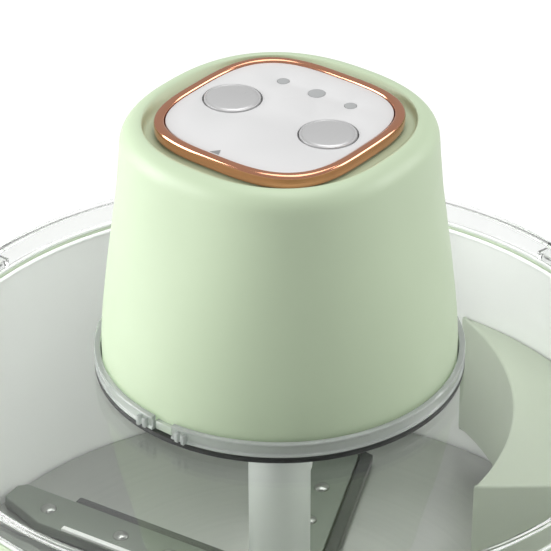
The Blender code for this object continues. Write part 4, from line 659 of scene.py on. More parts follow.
@dataclass(frozen=True)
class Palette:
    """All finishes of the machine."""

    green: Finish = Moulded("pastel_green_plastic", (193, 210, 179), 0.44, 0.012, 0.04, 0.00001, 0.0)
    block: Finish = Moulded("guide_green_plastic", (166, 176, 156), 0.42, 0.015, 0.05, 0.00001, 0.1)
    copper: Finish = Brushed("rose_gold_trim", (226, 162, 130), 0.12, Brush.ROUND, 1500.0, 0.000002, 0.03, 0.03)
    panel: Finish = Moulded("satin_silver_panel", (216, 216, 216), 0.42, 0.01, 0.05, 0.00001, 0.1)
    button: Finish = Brushed("silver_button", (208, 208, 208), 0.30, Brush.ALONG, 2500.0, 0.000002, 0.02, 0.04, 0.5)
    lens: Finish = Moulded("smoked_lens", (168, 170, 170), 0.30, 0.03, 0.05, 0.00001, 0.3)
    mark: Finish = Moulded("grey_mark", (140, 140, 140), 0.45)
    clear: Finish = Clear("clear_plastic", (253, 254, 253), 0.0)
    collar: Finish = Clear("clear_collar_plastic", (208, 212, 209), 0.06, 1.49, 0.02, 0.6)
    steel: Finish = Brushed("satin_steel", (196, 198, 194), 0.30)
    liner: Finish = Brushed("drum_steel", (238, 240, 237), 0.50, Brush.ROUND, 500.0, 0.000004, 0.008, 0.03, 0.05)
    disc: Finish = Brushed("disc_steel", (176, 178, 174), 0.36, Brush.ROUND, 700.0, 0.00001, 0.06, 0.07)
    arm: Finish = Brushed("arm_steel", (132, 139, 130), 0.33, Brush.ALONG, 900.0, 0.00001, 0.05, 0.06)
    # Near-white and barely metallic: a painted highlight that stands for the light caught along each arm's near edge.
    lip: Finish = Brushed("lip_painted_highlight", (240, 241, 238), 0.35, Brush.ALONG, 900.0, 0.000004, 0.03, 0.05, 0.2)
    rivet: Finish = Brushed("rivet_steel", (150, 152, 148), 0.15, Brush.ROUND, 1200.0, 0.00001, 0.04, 0.05)
    zinc: Finish = Brushed("zinc_plate", (176, 178, 182), 0.38, Brush.ALONG, 300.0, 0.00001, 0.08, 0.08)
    brass: Finish = Brushed("brass", (214, 180, 110), 0.30, Brush.ROUND, 900.0)
    column: Finish = Moulded("grey_column_plastic", (206, 210, 206), 0.38, 0.01, 0.02, 0.000005, 0.0)
    grey: Finish = Moulded("grey_plastic", (188, 192, 188), 0.45, 0.02, 0.06, 0.00003)
    black: Finish = Moulded("black_plastic", (38, 38, 38), 0.48, 0.05, 0.06, 0.00003)
    silicone: Finish = Moulded("dark_silicone", (12, 17, 13), 0.52, 0.05, 0.06, 0.00003, 0.0, 0.2)
    # Pale silicone, made light enough that it also stands for the bright highlight band along the rim: partly painted
    # highlight.
    gasket: Finish = Moulded("pale_silicone_painted_highlight", (214, 218, 213), 0.50, 0.02, 0.05, 0.00003, 0.0, 0.1)
    acetal: Finish = Moulded("white_acetal", (228, 228, 220), 0.40)
    board: Finish = Moulded("board_lacquer", (36, 104, 62), 0.35, 0.12, 0.08, 0.00002, 0.3)
    sleeve: Finish = Moulded("cell_sleeve", (54, 98, 156), 0.30, 0.03, 0.04, 0.00001, 0.3)
    made: dict[str, bpy.types.Material] = field(default_factory=dict)

    def material(self, name: str) -> bpy.types.Material:
        """The material of a finish by its field's name, built once."""
        if name not in self.made:
            self.made[name] = getattr(self, name).build()
        return self.made[name]


PALETTE = Palette()


# Pieces
def piece(name: str, mesh: bpy.types.Mesh, finish: str, body: str, replaces: tuple[str, ...] = (),
          in_place: bool = False, sharp: float = 32.0) -> bpy.types.Object:
    """Put a finished piece on its body.

    Args:
        name: Name of the new object.
        mesh: Its mesh, drawn about the machine's axis unless in_place.
        finish: Name of its finish in the palette.
        body: CAD body that carries it.
        replaces: CAD nodes that it stands for.
        in_place: Whether the mesh already lies in the frame's place.
        sharp: Edges that turn by more degrees stay crisp.

    Returns:
        The new object.
    """
    if not in_place:
        mesh.transform(Matrix.Translation(AXIS))
    mesh.name = name
    mesh.materials.clear()
    mesh.materials.append(PALETTE.material(finish))
    for polygon in mesh.polygons:
        polygon.material_index = 0
    mesh.shade_smooth()
    mesh.set_sharp_from_angle(angle=math.radians(sharp))
    obj = bpy.data.objects.new(name, mesh)
    bpy.context.scene.collection.objects.link(obj)
    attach(obj, body)
    if replaces:
        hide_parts(*replaces)
    LOG.info("%s: %d faces, rides on %s", name, len(mesh.polygons), body)
    return obj


def dress(finish: str, *nodes: str) -> None:
    """Give CAD nodes a finish."""
    for node in nodes:
        slots = FRAME["nodes"][node].material_slots
        if not slots:
            FRAME["nodes"][node].data.materials.append(PALETTE.material(finish))
        for slot in slots:
            slot.material = PALETTE.material(finish)
        LOG.info("%s keeps its CAD mesh in %s", node, finish)


@dataclass
class MotorHead:
    """Green head shell, its foot, base plate and charging socket."""

    bottom: float = 0.1670
    height: float = 0.08885
    radius: float = 0.0594
    wall: float = 0.0025
    rise_shares: tuple[float, ...] = (0.0, 0.070, 0.230, 0.390, 0.555, 0.720, 0.850)
    size_shares: tuple[float, ...] = (1.0, 1.0, 0.986, 0.954, 0.908, 0.861, 0.8350)
    square_start_share: float = 0.26
    top_exponent: float = 2.37
    shoulder_width: float = 0.00653
    shoulder_height: float = 0.00765
    crest_half_size: float = 0.04245
    groove_half_size: float = 0.0375
    groove_depth: float = 0.0034
    opening_half_size: float = 0.0315
    seat_exponent: float = 3.2
    socket_gap: float = 0.0003
    socket_corner: float = 0.0012
    key_half_width: float = 0.0034
    key_reach: float = 0.0608
    key_root: float = 0.0585
    key_gap: float = 0.0003
    key_top: float = 0.0036
    key_edge: float = 0.0004
    steps: int = 240
    shoulder_steps: int = 14
    groove_steps: int = 10

    def exponent(self, share: float) -> float:
        """How square a section is at a share of the height."""
        blend = min(max((share - self.square_start_share) / (1 - self.square_start_share), 0.0), 1.0)
        return 2 + (self.top_exponent - 2) * blend * blend * (3 - 2 * blend)

    def side(self, rows: int = 44) -> list[tuple[float, float]]:
        """(half size, rise share) pairs of a smooth side through the fitted shares."""
        rises, sizes = self.rise_shares, self.size_shares
        slopes = []
        for index in range(len(rises)):
            low, high = max(index - 1, 0), min(index + 1, len(rises) - 1)
            slopes.append((sizes[high] - sizes[low]) / (rises[high] - rises[low]))
        slopes[0] = slopes[1] = 0.0
        result = []
        for row in range(rows + 1):
            rise = rises[-1] * row / rows
            index = max(i for i in range(len(rises) - 1) if rises[i] <= rise + 1e-9)
            span = rises[index + 1] - rises[index]
            t = (rise - rises[index]) / span
            size = ((2 * t ** 3 - 3 * t ** 2 + 1) * sizes[index] + (t ** 3 - 2 * t ** 2 + t) * span * slopes[index]
                    + (3 * t ** 2 - 2 * t ** 3) * sizes[index + 1] + (t ** 3 - t ** 2) * span * slopes[index + 1])
            result.append((self.radius * size, rise))
        return result

    def sections(self) -> list[tuple[float, float, float]]:
        """(half size, exponent, height) of each section, from foot to opening."""
        crest = self.bottom + self.height
        result = [(self.radius - 0.0005, 2.0, self.bottom), (self.radius - 0.0001, 2.0, self.bottom + 0.0001)]
        result += [(size, self.exponent(rise), self.bottom + self.height * rise)
                   for size, rise in self.side() if rise > 0.005]
        for step in range(1, self.shoulder_steps + 1):
            angle = math.radians(90 * step / self.shoulder_steps)
            size = self.crest_half_size + self.shoulder_width * math.cos(angle)
            height = crest - self.shoulder_height * (1 - math.sin(angle))
            result.append((size, self.exponent((height - self.bottom) / self.height), height))
        for step in range(1, self.groove_steps + 1):
            share = step / self.groove_steps
            ease = share * share * (3 - 2 * share)
            size = self.crest_half_size + (self.groove_half_size - self.crest_half_size) * share
            square = self.top_exponent + (self.seat_exponent - self.top_exponent) * ease
            result.append((size, square, crest - self.groove_depth * ease))
        result.append((self.opening_half_size, self.seat_exponent, crest - self.groove_depth))
        return result

    def shell(self) -> bpy.types.Mesh:
        """Shell with its wall and the socket's window."""
        outer = [[Vector((x, y, height)) for x, y in rounded_square(size, exponent, self.steps)]
                 for size, exponent, height in self.sections()]
        crest = self.bottom + self.height
        floor = crest - self.groove_depth - self.wall
        inner = []
        for size, exponent, height in reversed(self.sections()):
            level = min(height, floor)
            reach = max(size - self.wall, self.opening_half_size)
            inner.append([Vector((x, y, level)) for x, y in rounded_square(reach, exponent, self.steps)])
        shell = mesh_from(skin(outer + inner, closed=True))
        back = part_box("charge_socket")
        low, high = back[0] - AXIS, back[1] - AXIS
        gap = self.socket_gap
        outline = rounded(rectangle((low.x - gap, low.z - gap), (high.x + gap, high.z + gap)), self.socket_corner)
        window = rounded_plate([outline], -high.y - 2 * self.wall, -low.y, TOOL_EDGE)
        window.transform(Matrix.Rotation(math.radians(90), 4, "X"))
        return without(shell, window)

    def key(self) -> bpy.types.Mesh:
        """Key at the foot that sits in the collar's notch."""
        half, near, far = self.key_half_width, -self.key_reach, -self.key_root
        low, high = self.bottom + self.key_gap, self.bottom + self.key_top
        return rounded_box((-half, near, low), (half, far, high), self.key_edge)

    def build(self) -> None:
        """Build and dress the head's own pieces."""
        piece("head_shell", self.shell(), "green", "head", ("head_housing",))
        piece("foot_key", self.key(), "collar", "head")
        piece("charging_port", softened("charge_socket", 0.0003), "black", "head",
              ("charge_socket",), in_place=True)
        dress("grey", "head_base_plate")
        dress("zinc", "head_plate_screw_1", "head_plate_screw_2")


@dataclass
class ControlPanel:
    """Rose-gold ring, silver panel, buttons, lenses and the small mark."""

    exponent: float = 3.2
    ring_half_size: float = 0.0355
    ring_width: float = 0.0030
    ring_bottom: float = 0.25275
    ring_top: float = 0.25760
    ledge: float = 0.0025
    ledge_top: float = 0.25490
    panel_bottom: float = 0.25520
    panel_top: float = 0.25690
    gap: float = 0.0003
    button_offset: float = 0.0194
    button_radius: float = 0.0093
    button_rise: float = 0.0007
    lens_row: float = 0.0194
    lens_spacing: float = 0.0137
    lens_radii: tuple[float, float, float] = (0.0020, 0.0028, 0.0020)
    lens_gap: float = 0.0001
    lens_dome: float = 0.00012
    lens_bottom: float = 0.24745
    guide_half_width: float = 0.0015
    guide_levels: tuple[float, float] = (0.24715, 0.24875)
    crown_edge: float = 0.00145
    button_gap: float = 0.0005
    flange_width: float = 0.0011
    flange_height: float = 0.0012
    stem_radius: float = 0.0015
    stem_bottom: float = 0.24975
    mark_corners: tuple[Point, ...] = ((-0.0031, -0.0318), (0.0005, -0.0318), (-0.0009, -0.0290))
    mark_height: float = 0.00006

    def ring(self) -> bpy.types.Mesh:
        """Ring with a crowned lip and a ledge under the panel."""
        outer, inner = self.ring_half_size, self.ring_half_size - self.ring_width
        loop = rounded([(outer, self.ring_bottom), (outer, self.ring_top), (inner, self.ring_top),
                        (inner, self.ledge_top), (inner - self.ledge, self.ledge_top),
                        (inner - self.ledge, self.ring_bottom)], self.crown_edge, 8)
        rows = [[Vector((x, y, height)) for x, y in rounded_square(size, self.exponent, 288)]
                for size, height in loop]
        return mesh_from(skin(rows, closed=True))

    def lens_places(self) -> list[Point]:
        """Middles of the three lenses."""
        return [(self.lens_spacing * step, self.lens_row) for step in (-1, 0, 1)]

    def plate(self) -> bpy.types.Mesh:
        """Panel with its holes."""
        outlines = [rounded_square(self.ring_half_size - self.ring_width - self.gap, self.exponent, 240)]
        hole = self.button_radius + self.button_gap
        outlines += [circle(hole, 96, (side * self.button_offset, 0.0)) for side in (-1, 1)]
        outlines += [circle(radius + self.lens_gap, 40, place)
                     for radius, place in zip(self.lens_radii, self.lens_places())]
        return rounded_plate(outlines, self.panel_bottom, self.panel_top, 0.00015, 2)

    def button(self) -> bpy.types.Mesh:
        """Domed button with a bright rim, a flange and a stem."""
        r, top = self.button_radius, self.panel_top
        flange_top, flange = self.panel_bottom - self.gap, r + self.flange_width
        flange_bottom = flange_top - self.flange_height
        dome = [(r * 0.90 * step / 10, top + self.button_rise * (1 - 0.55 * (step / 10) ** 2)) for step in range(11)]
        rim = [(r * 0.915, top + 0.00022), (r * 0.935, top + 0.00036), (r * 0.965, top + 0.00038),
               (r * 0.99, top + 0.00022), (r, top - 0.0001)]
        lower = [(r, flange_top), (flange, flange_top), (flange, flange_bottom), (self.stem_radius, flange_bottom),
                 (self.stem_radius, self.stem_bottom), (0.0, self.stem_bottom)]
        return turned(dome + rim + lower, 96)

    def lenses(self) -> bpy.types.Mesh:
        """Three low domes on their light guide."""
        shells = []
        for radius, place in zip(self.lens_radii, self.lens_places()):
            dome = [(radius * step / 6, self.panel_top + self.lens_dome * (1 - (step / 6) ** 2)) for step in range(7)]
            profile = dome + [(radius, self.lens_bottom), (0.0, self.lens_bottom)]
            shells.append(moved(turned(profile, 48), Matrix.Translation((*place, 0.0))))
        half, (low, high) = self.guide_half_width, self.guide_levels
        shells.append(rounded_box((-self.lens_spacing, self.lens_row - half, low),
                                  (self.lens_spacing, self.lens_row + half, high), 0.0002, 2))
        return gathered(shells)

    def build(self) -> None:
        """Build and dress the panel's pieces."""
        piece("rose_gold_ring", self.ring(), "copper", "head", ("trim_ring",))
        piece("panel_plate", self.plate(), "panel", "head", ("control_panel",))
        for name, side in (("peel", -1), ("eject", 1)):
            mesh = moved(self.button(), Matrix.Translation((side * self.button_offset, 0.0, 0.0)))
            piece(f"{name}_cap", mesh, "button", f"{name}_button", (f"{name}_button",))
        piece("status_lenses", self.lenses(), "lens", "head", ("indicator_lenses",))
        top = self.panel_top + self.mark_height
        mark = rounded_plate([list(self.mark_corners)], self.panel_top, top, self.mark_height / 3, 1)
        piece("lock_mark", mark, "mark", "head")


@dataclass
class Collar:
    """Clear collar and dark seal between the head and the lid."""

    inner: float = 0.0599
    outer: float = 0.0620
    bottom: float = 0.1670
    top: float = 0.1720
    seal_inner: float = 0.0570
    seal_bottom: float = 0.1648
    seal_top: float = 0.1667
    notch_width: float = 0.0080
    waist_depth: float = 0.0005
    bead: float = 0.0011
    bead_slope: float = 0.0003
    bar_spacing: float = 0.0026
    bar_half_width: float = 0.0007
    bar_reach: float = 0.0008
    bar_gap: float = 0.0003
    bar_top: float = 0.0037

    def band(self) -> bpy.types.Mesh:
        """Band with its notch, and the small bars beside it."""
        waist, bead, rim = self.outer - self.waist_depth, self.bead, self.bead - self.bead_slope
        loop = rounded([(self.outer, self.bottom), (self.outer, self.bottom + rim), (waist, self.bottom + bead),
                        (waist, self.top - bead), (self.outer, self.top - rim), (self.outer, self.top),
                        (self.inner, self.top), (self.inner, self.bottom)], 0.0004, 4)
        half = self.notch_width / 2
        notch = rounded_box((-half, -self.outer - 0.002, self.bottom - 0.002), (half, -self.inner + 0.002,
                            self.top + 0.002), 0.0002, 1)
        shells = [without(turned(loop, 288), notch)]
        for side in (-1, 1):
            for shift in (-0.5, 0.5):
                middle = side * self.notch_width + shift * self.bar_spacing
                low = (middle - self.bar_half_width, -self.outer - self.bar_reach, self.bottom + self.bar_gap)
                high = (middle + self.bar_half_width, -self.inner - 0.0004, self.bottom + self.bar_top)
                shells.append(rounded_box(low, high, 0.0003, 2))
        return gathered(shells)

    def build(self) -> None:
        """Build and dress the collar and the seal."""
        piece("collar_band", self.band(), "collar", "lid", ("head_collar",))
        loop = rounded([(self.outer, self.seal_bottom), (self.outer, self.seal_top), (self.seal_inner, self.seal_top),
                        (self.seal_inner, self.seal_bottom)], 0.0006, 4)
        piece("dark_seal", turned(loop, 288), "silicone", "lid", ("head_seal",))


@dataclass
class ClearLid:
    """Clear lid with its lugs, and the gasket under its skirt."""

    top: float = 0.1645
    edge: float = 0.1637
    bottom: float = 0.1536
    radius: float = 0.1240
    wall: float = 0.0022
    opening: float = 0.0125
    flat: float = 0.0620
    lug_height: float = 0.0030
    gasket_inset: float = 0.0003
    gasket_levels: tuple[float, float] = (0.1523, 0.1533)

    def build(self) -> None:
        """Build and dress the lid and the gasket."""
        inner = self.radius - self.wall
        loop = rounded([(self.opening, self.top), (self.flat, self.top), (self.radius, self.edge),
                        (self.radius, self.bottom), (inner, self.bottom), (inner, self.edge - self.wall),
                        (self.flat, self.top - self.wall), (self.opening, self.top - self.wall)], 0.0009, 5)
        lugs = LugRow().build(self.bottom, self.bottom + self.lug_height, 0.0006)
        piece("lid_shell", gathered([turned(loop, 320), lugs]), "clear", "lid", ("clear_lid",))
        outer, (low, high) = self.radius - self.gasket_inset, self.gasket_levels
        gasket = rounded([(inner, low), (outer, low), (outer, high), (inner, high)], 0.0004, 3)
        # The gasket's pale finish is partly a painted highlight for the bright band along the rim.
        piece("skirt_gasket", turned(gasket, 320), "gasket", "lid", ("lid_gasket",))


@dataclass
class Tub:
    """Green housing, steel drum, bottom plate, rubber feet and spindle."""

    radius: float = 0.1240
    wall: float = 0.0019
    rim: float = 0.1520
    foot: float = 0.0040
    plinth_height: float = 0.0080
    plinth_inset: float = 0.0050
    skirting: float = 0.1170
    floor_bottom: float = 0.0460
    floor_top: float = 0.0489
    drum_outer: float = 0.1218
    drum_inner: float = 0.1210
    drum_bottom: float = 0.0492
    drum_floor: float = 0.0500
    drum_top: float = 0.1517
    drum_corner: float = 0.0040
    drum_wall: float = 0.0008
    roll: float = 0.0016
    hub: float = 0.0053
    windows: int = 5
    window_inner: float = 0.0300
    window_outer: float = 0.0950
    window_angle: float = 52.0
    outlet_low: tuple[float, float] = (0.0080, 0.0585)
    outlet_high: tuple[float, float] = (0.0540, 0.0940)
    foot_angles: tuple[float, ...] = (40.0, 140.0, 215.0, 325.0)
    foot_circle: float = 0.1050
    foot_radius: float = 0.0080
    outlet_margin: float = 0.0026
    outlet_corner: float = 0.0015
    cut_depths: tuple[float, float] = (0.060, 0.130)
    bay_low: Point = (-0.0673, 0.0090)
    bay_high: Point = (0.0673, 0.0421)
    bay_front: float = 0.062
    ear_height: float = 0.0042
    cover_radius: float = 0.1166
    cover_levels: tuple[float, float] = (0.0043, 0.0068)
    rail_low: Point = (-0.0900, 0.0062)
    rail_high: Point = (0.0700, 0.0188)
    rail_width: float = 0.0026
    sole_hollow: float = 0.0006
    sole_inner: float = 0.0028
    sole_edge: float = 0.0010
    stud_radius: float = 0.0017
    stud_top: float = 0.0203

    def outlet_tool(self, margin: float) -> bpy.types.Mesh:
        """Tool for the outlet's opening."""
        (near, low), (far, high) = self.outlet_low, self.outlet_high
        outline = rounded(rectangle((near - margin, low - margin), (far + margin, high + margin)), self.outlet_corner)
        tool = rounded_plate([outline], *self.cut_depths, TOOL_EDGE, 1)
        tool.transform(Matrix(((0, 0, 1, 0), (1, 0, 0, 0), (0, 1, 0, 0), (0, 0, 0, 1))))
        return tool

    def window_tool(self, bottom: float, top: float) -> bpy.types.Mesh:
        """Tools for the floor's windows."""
        window = sector(self.window_inner, self.window_outer, 0.0, self.window_angle)
        outline = rounded(window, 0.0020, 4, SECTOR_TURN)
        return TurnedRow(self.windows, 0.0).of(rounded_plate([outline], bottom, top, TOOL_EDGE, 1))

    def housing(self) -> bpy.types.Mesh:
        """Housing with its plinth, floor, ears, drawer bay and outlet."""
        foot_radius = self.radius - self.plinth_inset
        plinth = [(foot_radius + self.plinth_inset * math.sin(math.radians(angle)),
                   self.foot + self.plinth_height * (1 - math.cos(math.radians(angle)))) for angle in range(0, 91, 9)]
        inner = self.radius - self.wall
        loop = [(self.skirting, self.foot)] + plinth + [
            (self.radius, self.rim), (inner, self.rim), (inner, self.floor_top), (self.hub, self.floor_top),
            (self.hub, self.floor_bottom), (self.skirting, self.floor_bottom)]
        body = turned(rounded(loop, 0.0006, 4, ROUND_TURN), 320)
        bay = rounded_plate([rounded(rectangle(self.bay_low, self.bay_high), 0.0012)], self.bay_front,
                            self.cut_depths[1], TOOL_EDGE, 1)
        bay.transform(Matrix.Rotation(math.radians(90), 4, "X"))
        body = without(body, bay, self.outlet_tool(self.outlet_margin),
                       self.window_tool(self.floor_bottom - CUT_MARGIN, self.floor_top + CUT_MARGIN))
        return gathered([body, LugRow().build(self.rim - self.ear_height, self.rim, 0.0007)])

    def drum(self) -> bpy.types.Mesh:
        """Drum with a rolled rim, its windows and the outlet."""
        half_roll, corner = self.roll / 2, self.drum_corner
        roll_centre = (self.drum_outer - half_roll, self.drum_top - half_roll)
        centre = (self.drum_inner - corner, self.drum_floor + corner)
        roll = [polar(half_roll, angle, roll_centre) for angle in range(0, 241, 20)]
        bend = [polar(corner, angle, centre) for angle in range(0, -91, -10)]
        outer_bend = [polar(corner + self.drum_wall, angle, centre) for angle in range(-90, 1, 10)]
        loop = [(self.hub, self.drum_bottom)] + outer_bend + roll + [(self.drum_inner, self.drum_top - self.roll)]
        loop += bend + [(self.hub, self.drum_floor)]
        windows = self.window_tool(self.floor_bottom, self.drum_floor + CUT_MARGIN)
        return without(turned(loop, 320), self.outlet_tool(0.0), windows)

    def foot_mesh(self) -> bpy.types.Mesh:
        """Rubber foot with a hollow underneath and its stud."""
        r, hollow, inner, edge, stud = (self.foot_radius, self.sole_hollow, self.sole_inner, self.sole_edge,
                                        self.stud_radius)
        loop = [(0.0, hollow), (inner, hollow), (inner + hollow, 0.0), (r - edge, 0.0), (r, edge), (r, self.foot),
                (stud, self.foot), (stud, self.stud_top), (0.0, self.stud_top)]
        return turned(rounded(loop, 0.0005, 4, ROUND_TURN), 48)

    def build(self) -> None:
        """Build and dress the tub's pieces."""
        piece("tub_housing", self.housing(), "green", "base", ("base_housing",))
        piece("drum_liner", self.drum(), "liner", "base", ("steel_drum",))
        plate = rounded_plate([circle(self.cover_radius, 256)], *self.cover_levels, 0.0005)
        width, inner = self.rail_width, self.bay_high[0]
        rails = [rounded_box((side, *self.rail_low), (side + width, *self.rail_high), 0.0004, 2)
                 for side in (inner, -inner - width)]
        piece("base_cover", gathered([plate, *rails]), "grey", "base", ("bottom_plate",))
        for number, angle in enumerate(self.foot_angles, start=1):
            mesh = moved(self.foot_mesh(), Matrix.Translation((*polar(self.foot_circle, angle), 0.0)))
            piece(f"foot_pad_{number}", mesh, "silicone", "base", (f"rubber_foot_{number}",))
        dress("steel", "rotor_spindle", "gate_pin")
        dress("zinc", "spindle_nut")
        dress("brass", "thrust_washer")


@dataclass
class GuideBlock:
    """Green block that leads cloves to the outlet."""

    bottom: float = 0.0670
    top: float = 0.1170
    wall: float = 0.12055
    arc_radius: float = 0.0990
    arc_centre: Point = (-0.0410, 0.0265)
    arc_start: float = 3.9
    arc_end: float = 70.0
    face_angle: float = 34.0
    edge: float = 0.0011

    def outline(self) -> Outline:
        """Flat face, drum wall, then the inner arc back."""
        inner = arc(self.arc_radius, self.arc_end, self.arc_start, 96, self.arc_centre)
        last = math.degrees(math.atan2(inner[0][1], inner[0][0]))
        return rounded(arc(self.wall, self.face_angle, last, 72) + inner, 0.0022, 6, 25.0)

    def build(self) -> None:
        """Build and dress the block."""
        body = rounded_plate([self.outline()], self.bottom, self.top, self.edge, 5)
        piece("clove_guide", body, "block", "base", ("guide_block",))


@dataclass
class Outlet:
    """Spout and swinging gate."""

    edge: float = 0.0005

    def build(self) -> None:
        """Build and dress the spout and the gate."""
        piece("spout", softened("outlet_spout", self.edge), "green", "base", ("outlet_spout",),
              in_place=True)
        piece("gate_flap", softened("outlet_gate", 0.0003), "green", "gate", ("outlet_gate",),
              in_place=True)


@dataclass
class SkinDrawer:
    """Drawer that catches the skins."""

    radius: float = 0.1240
    half_width: float = 0.0670
    back: float = 0.0750
    bottom: float = 0.0093
    top: float = 0.0418
    wall: float = 0.0020
    front_wall: float = 0.0025
    floor: float = 0.0017
    pull_low: tuple[float, float, float] = (-0.0240, -0.1320, 0.0288)
    pull_high: tuple[float, float, float] = (0.0240, -0.1209, 0.0328)

    def outline(self, radius: float, half_width: float, back: float) -> Outline:
        """Round front between two straight sides."""
        reach = math.degrees(math.asin(half_width / radius))
        return arc(radius, -90 - reach, -90 + reach, 64) + [(half_width, back), (-half_width, back)]

    def build(self) -> None:
        """Build and dress the drawer."""
        outer = rounded(self.outline(self.radius, self.half_width, self.back), 0.0015, 4, ROUND_TURN)
        body = rounded_plate([outer], self.bottom, self.top, 0.0005)
        inner = self.outline(self.radius - self.front_wall, self.half_width - self.wall, self.back - self.wall)
        floor, above = self.bottom + self.floor, self.top + CUT_MARGIN
        hollow = rounded_plate([rounded(inner, 0.0012, 4, ROUND_TURN)], floor, above, 0.0008)
        pull = rounded_box(self.pull_low, self.pull_high, 0.0014, 4)
        piece("skin_tray", gathered([without(body, hollow), pull]), "green", "drawer",
              ("skin_drawer",))


@dataclass
class Rotor:
    """Disc, column, riveted arms and wiper strips."""

    arms: int = 5
    first_angle: float = 42.5
    disc_radius: float = 0.1200
    disc_bottom: float = 0.0565
    disc_top: float = 0.0580
    arm_bottom: float = 0.0583
    arm_top: float = 0.0630
    half_width: float = 0.0090
    inner: float = 0.0265
    outer: float = 0.1180
    column_radius: float = 0.0107
    column_top: float = 0.1603
    flange_top: float = 0.0623
    column_fillet: float = 0.0040
    flange_radius: float = 0.0240
    spigot: Point = (0.0095, 0.0541)
    socket_bore: Point = (0.0082, 0.1380)
    spindle_bore: Point = (0.0054, 0.0776)
    rivet_radii: tuple[float, float, float] = (0.0465, 0.0675, 0.0995)
    rivet_size: Point = (0.0030, 0.0012)
    disc_bore: float = 0.0098
    slot_low: Point = (0.0340, 0.0130)
    slot_high: Point = (0.0880, 0.0170)
    tip_corner: float = 0.0030
    tip_drop: float = 0.0070
    tip_taper: float = 0.0200
    lip_inset: float = 0.0012
    lip_end: float = 0.0880
    lip_sides: Point = (0.0025, 0.0003)
    lip_rise: float = 0.0010
    strip_ends: Point = (0.0290, 0.0948)
    strip_sides: Point = (0.0048, 0.0003)
    strip_height: float = 0.0037

    def disc(self) -> bpy.types.Mesh:
        """Disc with a slot beside each arm."""
        plate = rounded_plate([circle(self.disc_radius, 320), circle(self.disc_bore, 64)], self.disc_bottom,
                              self.disc_top, 0.0004)
        slot = rounded_box((*self.slot_low, self.disc_bottom - CUT_MARGIN),
                           (*self.slot_high, self.disc_top + CUT_MARGIN), 0.0016, 4)
        return without(plate, TurnedRow(self.arms, self.first_angle).of(slot))

    def column(self) -> bpy.types.Mesh:
        """Column with its flange, spigot and bores."""
        r, fillet, flange = self.column_radius, self.column_fillet, self.flange_radius
        (spigot, low), (bore, seat), (inner, stop) = self.spigot, self.socket_bore, self.spindle_bore
        bend = [(r + fillet * (1 - math.cos(math.radians(angle))),
                 self.flange_top + fillet * (1 - math.sin(math.radians(angle)))) for angle in range(0, 91, 10)]
        loop = [(0.0, seat), (bore, seat), (bore, self.column_top), (r, self.column_top)] + bend
        loop += [(flange, self.flange_top), (flange, self.arm_bottom), (spigot, self.arm_bottom), (spigot, low),
                 (inner, low), (inner, stop), (0.0, stop)]
        return turned(rounded(loop, 0.0005, 4, ROUND_TURN), 128)

    def arm(self) -> bpy.types.Mesh:
        """One arm at angle 0."""
        w, tip, corner = self.half_width, self.outer, self.tip_corner
        outline = [(self.inner, -w), (tip - corner, -w), (tip, -w + corner), (tip, w - self.tip_drop),
                   (tip - self.tip_taper, w), (self.inner, w)]
        return rounded_plate([rounded(outline, 0.0008, 3)], self.arm_bottom, self.arm_top, 0.0005, 4)

    def lip(self) -> bpy.types.Mesh:
        """Raised lip of one arm at angle 0, finished near-white as a painted highlight along the arm's near edge."""
        near, far = (self.half_width - side for side in self.lip_sides)
        return rounded_box((self.inner + self.lip_inset, near, self.arm_top - 0.0004),
                           (self.lip_end, far, self.arm_top + self.lip_rise), 0.0004, 3)

    def build(self) -> None:
        """Build and dress the rotor's pieces."""
        row = TurnedRow(self.arms, self.first_angle)
        names = tuple(f"rotor_arm_{number}" for number in range(1, self.arms + 1))
        strips = tuple(f"wiper_strip_{number}" for number in range(1, self.arms + 1))
        piece("slotted_disc", self.disc(), "disc", "rotor", ("peeling_disc",))
        piece("drive_post", self.column(), "column", "rotor", ("drive_column",))
        piece("arm_set", row.of(self.arm(), PALETTE.material("arm")), "arm", "rotor", names)
        # The lips carry a painted highlight: their near-white finish stands for light caught along the arms' near
        # edges.
        piece("arm_lips", row.of(self.lip()), "lip", "rotor")
        rivets = RivetRow(self.rivet_radii, *self.rivet_size, self.arm_top).build()
        piece("arm_rivets", row.of(rivets), "rivet", "rotor")
        (start, end), (far, near) = self.strip_ends, (-self.half_width - side for side in self.strip_sides)
        low, high = self.arm_bottom, self.arm_bottom + self.strip_height
        strip = rounded_box((start, far, low), (end, near, high), 0.0008, 4)
        piece("wiper_set", row.of(strip), "silicone", "rotor", strips)
        dress("steel", "drive_socket")
        dress("zinc", "hub_nut")


@dataclass
class DriveTrain:
    """Pieces inside the head, which keep their CAD meshes."""

    finishes: dict[str, tuple[str, ...]] = field(default_factory=lambda: {
        "black": ("peel_switch", "eject_switch", "battery_holder"),
        "board": ("control_board",),
        "zinc": ("motor_plate", "drive_motor"),
        "brass": ("lower_bearing", "upper_bearing", "motor_pinion"),
        "steel": ("gear_pin", "output_shaft", "motor_shaft"),
        "acetal": ("output_gear", "compound_gear"),
        "sleeve": ("battery_cell_1", "battery_cell_2"),
    })

    def build(self) -> None:
        """Dress the pieces."""
        for finish, nodes in self.finishes.items():
            dress(finish, *nodes)


@dataclass(frozen=True)
class Softbox:
    """A square lamp that faces the machine."""

    name: str
    azimuth: float
    elevation: float
    distance: float
    size: float
    power: float

    def build(self, aim: Vector) -> None:
        """Add the lamp, turned towards a point."""
        lamp = bpy.data.lights.new(self.name, "AREA")
        lamp.shape = "SQUARE"
        lamp.size = self.size
        lamp.energy = self.power
        obj = bpy.data.objects.new(self.name, lamp)
        bpy.context.scene.collection.objects.link(obj)
        level = self.distance * math.cos(math.radians(self.elevation))
        x, y = polar(level, self.azimuth)
        obj.location = aim + Vector((x, y, self.distance * math.sin(math.radians(self.elevation))))
        obj.rotation_euler = (aim - obj.location).to_track_quat("-Z", "Y").to_euler()


